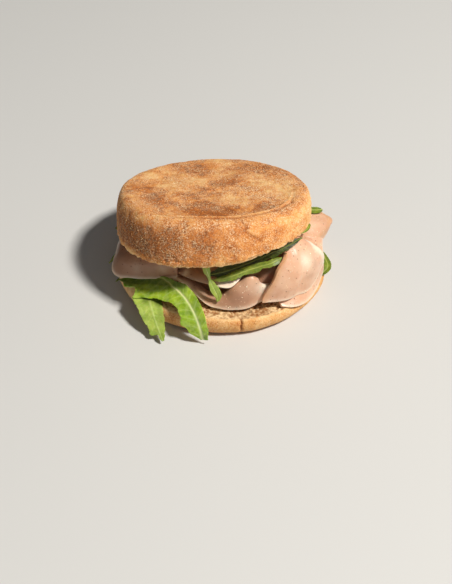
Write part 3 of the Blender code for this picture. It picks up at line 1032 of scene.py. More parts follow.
@dataclass
class Heel:
    """Lower half: flat griddled base, rounded crust side and a torn, open cut face."""

    radius: float = 54.4
    base_radius: float = 47.5
    flat_below: float = 0.01
    cut_height: float = 9.6
    fall_x: float = 0.055
    fall_y: float = 0.03
    outline_waves: Triples = ((2, 0.35, 40), (3, 0.3, 100), (5, 0.2, 10))
    outline_bumps: Triples = ((-98, 38, -2.2), (-25, 20, 1.0))
    split_angle: float = -78.5
    columns: int = 640
    spacing: float = 0.46

    def profile(self) -> list[tuple[float, float]]:
        """Closed profile: base, crust side, lip and cut face.

        Returns:
            (radius, height) points.
        """
        side = self.cut_height
        base = [(0.0, 0.0), (24.0, 0.0), (44.0, 0.0)]
        crust = [(44.0, 0.0), (self.base_radius, 0.0), (49.6, 0.3), (51.2, 0.9), (52.5, 1.8), (53.4, 2.9),
                 (54.1, 4.2), (self.radius, 5.7), (54.3, 7.1), (53.8, side - 1.3), (53.1, side - 0.5),
                 (52.3, side - 0.05), (51.4, side + 0.1), (47.5, side - 0.5), (34.0, side - 0.4)]
        middle = [(34.0, side - 0.4), (20.0, side - 0.2), (0.0, side - 0.1)]
        return (even_profile(base, 2.0)[:-1] + even_profile(crust, self.spacing)[:-1]
                + even_profile(middle, 1.4))

    def bend(self, place: Vector) -> tuple[Spot, Place]:
        """Slope and dent the turned shape at one point, above the flat base.

        Args:
            place: The point.

        Returns:
            Its spot and its new place.
        """
        x, y, z = place
        side = self.cut_height
        angle, reach = math.degrees(math.atan2(y, x)), math.hypot(x, y)
        spot = Spot(Vector((x, y, z)), angle, reach, ease(side - 1.6, side - 0.5, z))
        if z <= self.flat_below:
            return spot, (x, y, z)
        grow = 1 + (waves(angle, self.outline_waves) + bumps(angle, self.outline_bumps)) / self.radius
        fall = self.fall_x * x + self.fall_y * y
        return spot, (x * grow, y * grow, z - fall * z / side)

    def relief(self, spot: Spot) -> float:
        """Height of the surface detail along the normal.

        Args:
            spot: Place on the half.

        Returns:
            The height in millimetres.
        """
        point, _, reach, above = spot
        if point.z <= self.flat_below:
            return 0.0
        lift = 0.18 * grain(point, 7.0, 2, 3.0) + 0.09 * grain(point, 1.6, 2, 7.0)
        crumb = above * (1 - ease(51.4, 52.6, reach))
        if crumb > 0 and reach > 30:
            flat = Vector((point.x, point.y, 0.0))
            holes = 0.6 * pits(flat, 3.4, 2.0) + 0.9 * pits(flat, 2.0, 9.0)
            tear = 0.75 * grain(flat, 5.0, 3, 17.0) + 0.45 * grain(flat, 1.7, 2, 27.0)
            lift += crumb * (tear - holes * (0.6 + 0.5 * grain(flat, 12.0, 1, 21.0)))
        return lift - 1.5 * self.split(spot) * ease(48.5, 52.5, reach)

    def split(self, spot: Spot) -> float:
        """Depth of the crack down the front of the crust, which also darkens it as painted shade."""
        away = turn_between(spot.angle, self.split_angle) + 0.3 * math.sin(1.3 * spot.point.z)
        return peak(away, 0.55) * ease(1.0, 3.5, spot.point.z)

    def toast(self, spot: Spot) -> float:
        """How browned the crust is, 0 pale to 1 dark.

        Args:
            spot: Place on the half.

        Returns:
            The browning.
        """
        point, angle, reach, _ = spot
        patch = 0.28 * grain(point, 9.0, 3, 31.0)
        base = ease(3.2, 0.4, point.z) * (0.35 if reach < 52.5 else 0.15)
        ends = bumps(angle, ((-20, 40, 0.16), (-158, 24, 0.45)))
        lip = 0.3 * peak(reach - 52.4, 0.9) * ease(7.5, 9.0, point.z)
        return 0.38 + patch + base - ends - lip

    def flour(self, spot: Spot) -> float:
        """Share of the surface that flour hides."""
        return 0.25 + 0.3 * grain(spot.point, 7.0, 2, 43.0)

    def opened(self, spot: Spot) -> float:
        """Share of the surface that is crumb: 1 on the cut face, 0 on the crust."""
        return spot.above * (1 - ease(51.4, 52.6, spot.reach + 0.5 * grain(spot.point, 3.0)))

    def crumb_tone_and_shade(self, spot: Spot) -> float:
        """How dark the crumb is: painted shade in its holes and under the ham at the front, with random
        tone.

        Args:
            spot: Place on the half.

        Returns:
            The depth.
        """
        flat = Vector((spot.point.x, spot.point.y, 0.0))
        # Painted shadow of the ham on the crumb at the front right.
        shade = 0.35 * peak(math.hypot(flat.x - 16, flat.y + 43), 11)
        # The pits darken the crumb's holes: painted shade.
        return (0.24 + shade + 0.4 * pits(flat, 3.4, 2.0) + 0.6 * pits(flat, 2.0, 9.0)
                + 0.6 * grain(flat, 1.4, 2, 27.0) + 0.3 * grain(flat, 6.0))

    def build(self, material: bpy.types.Material) -> Piece:
        """Model the lower half.

        Args:
            material: Crust material.

        Returns:
            The piece.
        """
        form = turned(self.profile(), self.columns)
        # The crack and the crumb's holes are darkened as painted shade.
        shape_half(form, self.bend, self.relief, {
            "toast": self.toast, "seam_shade": self.split, "flour": self.flour, "open": self.opened,
            "crumb_tone_and_shade": self.crumb_tone_and_shade})
        for vert in form.verts:
            vert.co.z = max(vert.co.z, 0.0)
        return Piece("muffin_heel", form, material, "heel_crust", "muffin_bottom", sharp=70.0)


# ---------------------------------------------------------------- ham


@dataclass
class Station:
    """One cross-section of a ham slice, as (reach from the middle, height) pairs.

    The slice leaves the middle, rises to its crest, turns over the belly and ends at the hem.
    swing turns the hem about the middle by that many degrees against the crest.
    """

    angle: float
    crest: tuple[float, float]
    belly: tuple[float, float]
    hem: tuple[float, float]
    swing: float = 0.0


@dataclass
class HamSlice:
    """A slice that runs from the middle of the muffin out over its rim.

    inner places a point between the root and the crest, as (share of the reach, share of the climb).
    heap lifts that point by as many millimetres, most at the heap's middle angle.
    edge and end give the first and last cross-sections as (angle, reach, height) points.
    blots are (x, y, z, width, share) spots that lighten as fatty white and painted highlight, or darken
    where the share is negative, as darker meat and painted shade.
    tuck folds the hem back under by as many millimetres.
    """

    node: str
    root_height: float
    stations: list[Station]
    inner: tuple[float, float] = (0.6, 0.5)
    heap: float = 0.0
    heap_angle: float = 0.0
    tuck: float = 0.0
    edge: Triples = ()
    end: Triples = ()
    blots: Blots = ()
    lean_and_shade: float = 0.0
    fat_hem: float = 0.7
    fat_width: float = 1.3
    fat_end: float = 0.0
    rind_and_shade_start: float = 0.0
    rind_and_shade_hem: float = 0.0
    thickness: float = HAM_THICKNESS
    root_reach: float = 6.0
    heap_width: float = 17.0
    spacing: float = 0.75
    column_share: float = 1.15
    fewest: int = 12

    def outline(self, station: Station) -> list[Vector]:
        """Control points of one cross-section, from the middle of the muffin to the hem.

        Args:
            station: The cross-section.

        Returns:
            (reach, height, 0) points.
        """
        crest_reach, crest_height = station.crest
        share, climb = self.inner
        inner_reach = self.root_reach + share * (crest_reach - self.root_reach)
        inner_height = self.root_height + climb * (crest_height - self.root_height)
        inner_height += bumps(station.angle, ((self.heap_angle, self.heap_width, self.heap),))
        points = [(self.root_reach, self.root_height), (inner_reach, inner_height),
                  station.crest, station.belly, station.hem]
        if self.tuck > 0:
            points.append((station.hem[0] - self.tuck, station.hem[1] - 0.05 * self.tuck))
        return [Vector((reach, height, 0.0)) for reach, height in points]

    def section(self, station: Station, rows: int) -> list[Vector]:
        """Points of one cross-section in place round the muffin.

        Args:
            station: The cross-section.
            rows: Number of points.

        Returns:
            The points.
        """
        crest_reach, crest_height = station.crest
        fall = crest_height - station.hem[1]
        passed_crest = False
        points = []
        for reach, height, _ in smooth_path(self.outline(station), rows):
            passed_crest = passed_crest or reach >= crest_reach
            drop = (crest_height - height) / fall if passed_crest and station.swing else 0.0
            turn = math.radians(station.angle + station.swing * max(drop, 0.0))
            points.append(Vector((reach * math.cos(turn), reach * math.sin(turn), height)))
        return points

    def counts(self) -> tuple[int, int]:
        """Columns round the muffin and rows from its middle outwards.

        Returns:
            Both numbers.
        """
        middle = self.stations[len(self.stations) // 2]
        line = self.outline(middle)
        out = sum((b - a).length for a, b in zip(line, line[1:]))
        round_it = math.radians(abs(self.stations[-1].angle - self.stations[0].angle)) * middle.belly[0]
        columns = max(int(round_it * self.column_share / self.spacing), self.fewest)
        return columns, max(int(out / self.spacing), self.fewest)

    def build(self, material: bpy.types.Material) -> Piece:
        """Model the slice.

        Args:
            material: Ham material.

        Returns:
            The piece.
        """
        columns, rows = self.counts()
        sections = [self.section(station, rows) for station in self.stations]
        if self.edge:
            sections[0] = smooth_path(polar(self.edge), rows)
        if self.end:
            sections[-1] = smooth_path(polar(self.end), rows)
        lines = [smooth_path(line, columns) for line in zip(*sections)]
        form = laid(columns, rows, lambda column, row: lines[row][column])
        form.normal_update()
        seed = self.root_height
        for vert in form.verts:
            free = ease(0.3, 0.7, (vert.index // columns) / (rows - 1))
            ripple = 0.34 * grain(vert.co, 7.5, 2, seed) + 0.12 * grain(vert.co, 2.6, 2, seed + 5)
            vert.co += vert.normal * ripple * free
        start_gap = [0.0] * len(form.verts)
        for row in range(rows):
            for column in range(1, columns):
                here = row * columns + column
                step = (lines[row][column] - lines[row][column - 1]).length
                start_gap[here] = start_gap[here - 1] + step

        def hem_gap(vert: bmesh.types.BMVert) -> float:
            """Distance from the hem."""
            return (rows - 1 - vert.index // columns) * self.spacing

        def end_gap(vert: bmesh.types.BMVert) -> float:
            """Distance from the slice's end."""
            return start_gap[vert.index // columns * columns + columns - 1] - start_gap[vert.index]

        # The pale number is fatty white and painted highlights, the dark one darker meat and painted shade,
        # the tan one skin and painted shade.
        carry(form, {
            "fat_and_highlight": lambda vert: self.fat_hem * peak(hem_gap(vert), self.fat_width)
            + blotted(self.blots, vert.co) + self.fat_end * ease(3.4, 1.6, end_gap(vert)),
            "lean_and_shade": lambda vert: self.lean_and_shade + blotted(self.blots, vert.co, -1),
            "rind_and_shade": lambda vert: self.rind_and_shade_start * ease(4.0, 0.6, start_gap[vert.index])
            + self.rind_and_shade_hem * ease(6.5, 5.0, hem_gap(vert)),
        })
        return Piece(f"{self.node}_slice", form, material, "ham", self.node, self.thickness, 45.0)


# The slices' darker tones and dark blots are partly painted shade, their pale blots partly painted
# highlights.
HAM_SLICES = [
    HamSlice("ham_front", 11.4, [
        Station(-142, (26, 14.5), (32, 16.4), (35, 17.4)),
        Station(-132, (28, 15.6), (34, 18.4), (37.6, 19.4)),
        Station(-122, (30, 16.2), (34.5, 18.6), (36.8, 18.8)),
        Station(-113, (32, 16.0), (35.6, 17.6), (37.8, 17.0)),
        Station(-104.5, (34, 15.2), (38, 16.0), (40.4, 14.4)),
        Station(-97, (36, 14.6), (40.2, 14.8), (42.8, 12.7)),
        Station(-88, (37.8, 16.4), (42.0, 15.8), (44.2, 12.4)),
        Station(-81, (39.2, 21.6), (43.0, 18.6), (44.8, 12.2)),
        Station(-74, (39.6, 25.2), (43.2, 20.4), (44.8, 12.1)),
        Station(-69, (40.0, 27.2), (43.0, 21.0), (44.2, 12.1)),
        Station(-65, (40.8, 25.9), (42.7, 21.2), (43.4, 12.1)),
        Station(-62, (41.8, 22.4), (42.9, 19.4), (43.2, 12.1)),
        Station(-59, (42.3, 20.9), (43.2, 18.4), (43.2, 12.1)),
        Station(-56, (42.5, 20.3), (43.3, 17.6), (43.0, 12.0)),
        Station(-51, (40, 14.8), (42, 13.6), (42.4, 12.0)),
    # Its darker tone and dark blots are painted shade, its pale blots painted light patches.
    ], inner=(0.8, 0.25), lean_and_shade=0.3, blots=(
        (7.0, -44.0, 14.5, 8.0, -0.6), (16.0, -41.0, 17.0, 5.0, -0.3), (21.5, -37.5, 20.6, 4.0, 1.3),
        (8.0, -42.0, 20.0, 3.0, -0.3), (-16.8, -33.6, 18.4, 2.2, 0.9), (-10.5, -37.4, 16.4, 2.6, 0.5))),
    HamSlice("ham_outer", 17.0, [
        Station(-53, (38, 17.0), (44.6, 13.6), (50.6, 10.4)),
        Station(-47, (40, 22.0), (48.0, 14.4), (53.7, 8.9)),
        Station(-39, (43.4, 29.0), (50.2, 16.4), (55.3, 8.3)),
        Station(-30, (44.5, 31.4), (51.4, 18.6), (55.0, 9.2)),
        Station(-22, (45.0, 31.4), (52.8, 20.0), (54.4, 10.4)),
        Station(-16, (44.8, 31.0), (52.4, 23.4), (54.0, 14.8)),
        Station(-11, (43.4, 30.4), (50.6, 27.8), (52.4, 24.0)),
    ], end=((-17, 6, 17.0), (-17, 26, 26.0), (-16, 39.9, 30.5), (-13.5, 43.6, 30.2), (-12.1, 47.3, 29.5),
            (-9.9, 50.2, 28.4), (-8.0, 51.8, 26.4))),
    HamSlice("ham_right", 27.4, [
        Station(-43, (42.0, 36.2), (47.0, 28.0), (46.4, 14.4), -17),
        Station(-40.5, (43.0, 37.2), (50.2, 27.4), (50.0, 14.4), -13),
        Station(-37.5, (43.8, 37.6), (52.0, 27.0), (51.4, 14.0), -10),
        Station(-34.5, (44.1, 37.5), (51.2, 27.0), (51.4, 13.6), -8.5),
        Station(-31, (44.4, 37.2), (53.2, 27.0), (53.6, 13.4), -6.5),
        Station(-26, (45.0, 36.0), (53.4, 27.4), (54.4, 15.4), -4),
        Station(-20, (45.0, 34.2), (52.6, 29.0), (54.6, 21.0), -1),
    # The tan band along its left edge is painted shade on the rounded fold.
    ], inner=(0.47, 0.6), rind_and_shade_start=0.65, edge=(
        (-38, 6, 27.4), (-42, 26, 33.0), (-44.6, 42.0, 37.3), (-46.6, 45.6, 37.3), (-49.4, 46.8, 36.3),
        (-52.4, 47.3, 34.8), (-55.0, 47.5, 32.0), (-56.2, 47.4, 28.6), (-58.6, 46.9, 24.4),
        (-61.2, 46.3, 20.2), (-63.2, 46.2, 17.0), (-63.8, 46.6, 14.8)),
        end=((-22, 6, 27.4), (-23, 26, 31.6), (-23.9, 43.0, 34.2), (-23.4, 47.2, 33.6), (-23.0, 50.0, 32.4),
             (-22.3, 52.5, 30.8), (-20.4, 54.2, 26.4), (-18.6, 54.6, 19.6)),
        # Its pale blots and end are painted highlights, its dark blots painted shade in the fold's valley
        # and under its lip.
        fat_end=0.85, blots=((41.4, -29.8, 33.4, 2.6, 0.75), (42.2, -30.4, 30.4, 2.9, 0.8),
                             (25.0, -41.0, 19.0, 5.0, -0.25), (46.2, -27.6, 27.4, 2.6, -0.5),
                             (44.6, -31.6, 23.0, 2.6, -0.45), (44.0, -25.0, 28.5, 8.0, 0.25))),
    HamSlice("ham_back_right", 14.8, [
        Station(-12, (36, 21.0), (42, 19.0), (46, 16.0)),
        Station(-3, (38, 23.2), (46, 19.8), (49, 15.6)),
        Station(5, (40, 24.0), (50.2, 19.2), (51.8, 13.6)),
        Station(10, (41, 25.0), (54.2, 20.6), (55.4, 14.0)),
        Station(14, (41, 25.3), (57.8, 19.8), (58.6, 15.0)),
        Station(16.5, (41, 25.2), (59.4, 19.6), (60.3, 16.6)),
        Station(19.5, (40.8, 25.0), (57.0, 20.6), (59.0, 18.0)),
        Station(25, (39.8, 24.2), (52.0, 21.6), (55.2, 19.8)),
        Station(33, (37, 22.6), (45, 20.8), (49.4, 19.2)),
        Station(42, (33, 20.2), (40, 18.6), (44, 17.0)),
    # The tan band at its hem is painted shade on the flap's outer face.
    ], rind_and_shade_hem=0.5, lean_and_shade=0.1),
    HamSlice("ham_inner", 19.2, [
        Station(-64, (28, 18.6), (33.6, 19.4), (36.6, 18.6)),
        Station(-60, (33, 21.0), (37.4, 21.2), (39.8, 18.0)),
        Station(-56, (35, 23.8), (38.8, 23.6), (40.6, 18.4)),
        Station(-52, (36, 25.4), (39.8, 25.0), (41.0, 19.4)),
        Station(-47, (36, 27.0), (40.2, 26.8), (41.0, 22.6)),
        Station(-43, (34, 28.0), (38, 28.6), (40.2, 27.0)),
    # Its dark tone is painted shade between the slices.
    ], lean_and_shade=0.75),
    HamSlice("ham_mid", 21.2, [
        Station(-131, (25, 20.9), (30, 21.4), (34.4, 21.2)),
        Station(-124.5, (28, 22.4), (32.4, 23.2), (35.8, 22.6)),
        Station(-118, (29, 24.0), (34.2, 24.8), (37.0, 23.8)),
        Station(-111, (30, 24.2), (34.8, 24.8), (37.3, 23.3)),
        Station(-102.5, (30, 24.0), (35.0, 24.2), (37.4, 22.5)),
        Station(-97, (30, 24.0), (35.6, 24.2), (38.3, 22.8)),
        Station(-91, (31, 24.4), (37.2, 25.0), (40.2, 23.3)),
        Station(-86, (31, 25.0), (37.6, 25.6), (40.9, 23.2)),
        Station(-82, (31, 25.2), (37.8, 26.0), (40.9, 23.6)),
        Station(-77, (30.4, 25.6), (36.4, 26.6), (39.2, 25.2)),
        Station(-72, (28, 25.8), (33.6, 26.8), (36.6, 26.0)),
        Station(-66, (25, 25.4), (30, 26.0), (33, 25.4)),
    # Its darker tone is painted shade under the crown, its pale blots partly painted highlights.
    ], inner=(0.55, 0.5), heap=7.0, heap_angle=-86, thickness=2.0, lean_and_shade=0.5,
        fat_hem=0.35, fat_width=1.2, blots=(
            (2.6, -40.8, 23.6, 4.4, 0.75), (7.4, -38.8, 25.4, 3.6, 0.6), (-3.0, -38.6, 23.2, 3.0, 0.5),
            (-16.5, -31.0, 24.4, 1.6, 0.8), (-14.0, -34.0, 23.6, 7.0, -0.4))),
    HamSlice("ham_left", 23.6, [
        Station(-200, (36, 18.8), (44.0, 17.0), (46.0, 15.0)),
        Station(-182, (42, 21.0), (48.4, 20.4), (50.8, 18.0)),
        Station(-170, (43, 24.8), (50.0, 24.6), (52.6, 22.6)),
        Station(-163, (43.4, 26.4), (51.5, 25.2), (55.2, 21.6)),
        Station(-159, (43, 27.6), (52.4, 24.8), (58.0, 17.6)),
        Station(-155, (42, 28.8), (50.6, 25.4), (56.8, 15.8)),
        Station(-150.5, (41, 29.6), (47.6, 26.0), (52.2, 16.4)),
        Station(-145, (39.5, 30.6), (45.0, 26.6), (48.2, 17.6)),
        Station(-138.5, (37.5, 31.6), (42.0, 28.0), (43.6, 19.0)),
        Station(-131, (35.2, 32.4), (39.2, 29.2), (39.8, 20.4)),
        Station(-124, (33, 33.0), (36.8, 30.4), (37.6, 22.0)),
    # Its dark tone is painted shade under the crown, its pale blots painted highlights.
    ], lean_and_shade=0.95, blots=((-42.4, -27.4, 23.4, 2.6, 0.55), (-27.4, -27.2, 25.6, 2.6, 0.4),
                         (-34.0, -30.0, 22.0, 9.0, -0.6), (-50.0, -16.0, 20.0, 6.0, -0.3))),
    HamSlice("ham_back", 15.2, [
        Station(49, (34, 20.0), (45.6, 15.6), (43.4, 10.0)),
        Station(62, (36, 19.8), (49.0, 15.2), (46.6, 9.8)),
        Station(82, (36, 18.8), (48.0, 14.4), (46.0, 10.0)),
        Station(104, (35, 17.6), (46.4, 13.6), (44.6, 10.6)),
        Station(128, (32, 18.0), (43.0, 14.4), (41.0, 11.6)),
        Station(150, (28, 18.2), (37.6, 15.6), (35.8, 12.6)),
    ], tuck=8.0),
]


# ---------------------------------------------------------------- rocket


@dataclass
class Leaf:
    """A rocket leaf along a route of points.

    left and right give the distance in millimetres from the route to each edge as (share of the
    route, distance) pairs.  rib gives the midrib's distance to the right of the route.
    face_start and face_end say which way the blade looks at the route's ends.  blots are (x, y, z, width,
    share) spots of painted shade.
    """

    node: str
    route: Triples
    face_start: Place
    face_end: Place
    left: Pairs
    right: Pairs
    rib: Pairs = ((0.0, 0.0), (1.0, 0.0))
    rib_width: float = 0.42
    rib_share: float = 1.0
    blots: Blots = ()
    cup: float = 0.05
    wave: float = 0.5
    serration: float = 0.25
    thickness: float = 0.5
    spacing: float = 0.36
    measured_points: int = 60
    look_ahead: int = 3
    tone: Tone = Tone.GROWN

    def half_width(self, offset: float, share: float) -> float:
        """Distance from the route to the edge on the side that offset names, with fine teeth.

        Args:
            offset: Above 0 for the right, else the left.
            share: Share of the route.

        Returns:
            The distance in millimetres.
        """
        edge = read_pairs(self.right if offset > 0 else self.left, share)
        teeth = grain(Vector((share * 60, 9.0 * (offset > 0), 0.0)), 1.4, 2, len(self.node))
        return max(edge + self.serration * teeth * ease(0.4, 2.0, edge), 0.05)

    def build(self, material: bpy.types.Material) -> Piece:
        """Model the leaf.

        Args:
            material: Rocket material.

        Returns:
            The piece.
        """
        dense = smooth_path(self.route, self.measured_points)
        length = sum((b - a).length for a, b in zip(dense, dense[1:]))
        widest = max(value for _, value in self.left) + max(value for _, value in self.right)
        columns, rows = int(length / self.spacing) + 1, 2 * int(widest / self.spacing / 2) + 3
        spine = smooth_path(self.route, columns)
        start, end = Vector(self.face_start).normalized(), Vector(self.face_end).normalized()
        frames = []
        for step in range(columns):
            share = step / (columns - 1)
            after = spine[min(step + self.look_ahead, columns - 1)]
            ahead = (after - spine[max(step - self.look_ahead, 0)]).normalized()
            side = ahead.cross(start.lerp(end, share)).normalized()
            frames.append((share, side, side.cross(ahead).normalized()))
        across: list[float] = [0.0] * (columns * rows)

        def place(column: int, row: int) -> Vector:
            """Place of a point of the blade.

            Args:
                column: Its number along the route.
                row: Its number across the blade.

            Returns:
                The place.
            """
            share, side, face = frames[column]
            offset = 2 * row / (rows - 1) - 1
            width = offset * self.half_width(offset, share)
            across[row * columns + column] = width
            ruffle = self.wave * abs(offset) ** 2 * grain(Vector((share * length, offset * 2, 0)), 5.5)
            return spine[column] + side * width + face * (self.cup * abs(width) + ruffle)

        form = laid(columns, rows, place)
        form.normal_update()

        def share_of(vert: bmesh.types.BMVert) -> float:
            """Share of the route that lies behind a point."""
            return (vert.index % columns) / (columns - 1)

        def rib_gap(vert: bmesh.types.BMVert) -> float:
            """Distance from the midrib."""
            return abs(across[vert.index] - read_pairs(self.rib, share_of(vert)))

        def vein(vert: bmesh.types.BMVert) -> float:
            """Strength of the side veins.

            Args:
                vert: The point.

            Returns:
                The strength, 0 to 1.
            """
            gap = rib_gap(vert)
            slant = share_of(vert) * length - 0.9 * gap + 0.04 * gap * gap
            slant += 0.5 * grain(vert.co, 4.0, 1, 13.0)
            stroke = peak((slant / 4.6 % 1.0 - 0.5) * 4.6, 0.26)
            return stroke * ease(0.3, 1.0, gap) * ease(9.0, 3.0, gap)

        def rib(vert: bmesh.types.BMVert) -> float:
            """Strength of the midrib, which narrows towards the tip."""
            return self.rib_share * peak(rib_gap(vert), self.rib_width * (1.25 - 0.75 * share_of(vert)))

        def painted_shade(vert: bmesh.types.BMVert) -> float:
            """Strength of the painted shade spots."""
            return ease(0.25, 0.7, blotted(self.blots, vert.co))

        heights = [0.24 * rib(vert) - 0.05 * vein(vert) for vert in form.verts]
        carry(form, {"rib": rib, "vein": vein, "painted_shade": painted_shade})
        for vert, height in zip(form.verts, heights):
            vert.co += vert.normal * (height + 0.06 * grain(vert.co, 1.6, 2, 3.0))
        return Piece(f"{self.node}_blade", form, material, "rocket", self.node, self.thickness, 55.0)


BLUNT_TIP = ((0.0, 0.25), (0.2, 0.62), (0.42, 0.86), (0.62, 1.0), (0.86, 0.86), (0.96, 0.5), (1.0, 0.12))
POINTED_TIP = ((0.0, 0.2), (0.18, 0.7), (0.35, 1.0), (0.55, 0.8), (0.7, 0.95), (0.85, 0.6), (1.0, 0.05))


def tip_leaf(node: str, points: Triples, faces: tuple[Place, Place], tip: Pairs, half_width: float,
             **looks: float) -> Leaf:
    """A leaf that shows little more than its tip.

    Args:
        node: The solid that it stands for.
        points: Its route as (angle, reach, height) points.
        faces: Which way the blade looks at the start and at the tip.
        tip: Outline of either side, for a half width of 1.
        half_width: Half width in millimetres.
        looks: Other sizes of the leaf.

    Returns:
        The leaf.
    """
    edge = [(share, value * half_width) for share, value in tip]
    return Leaf(node, polar(points), *faces, edge, edge, **looks)


UPWARD = (0.0, 0.0, 1.0)

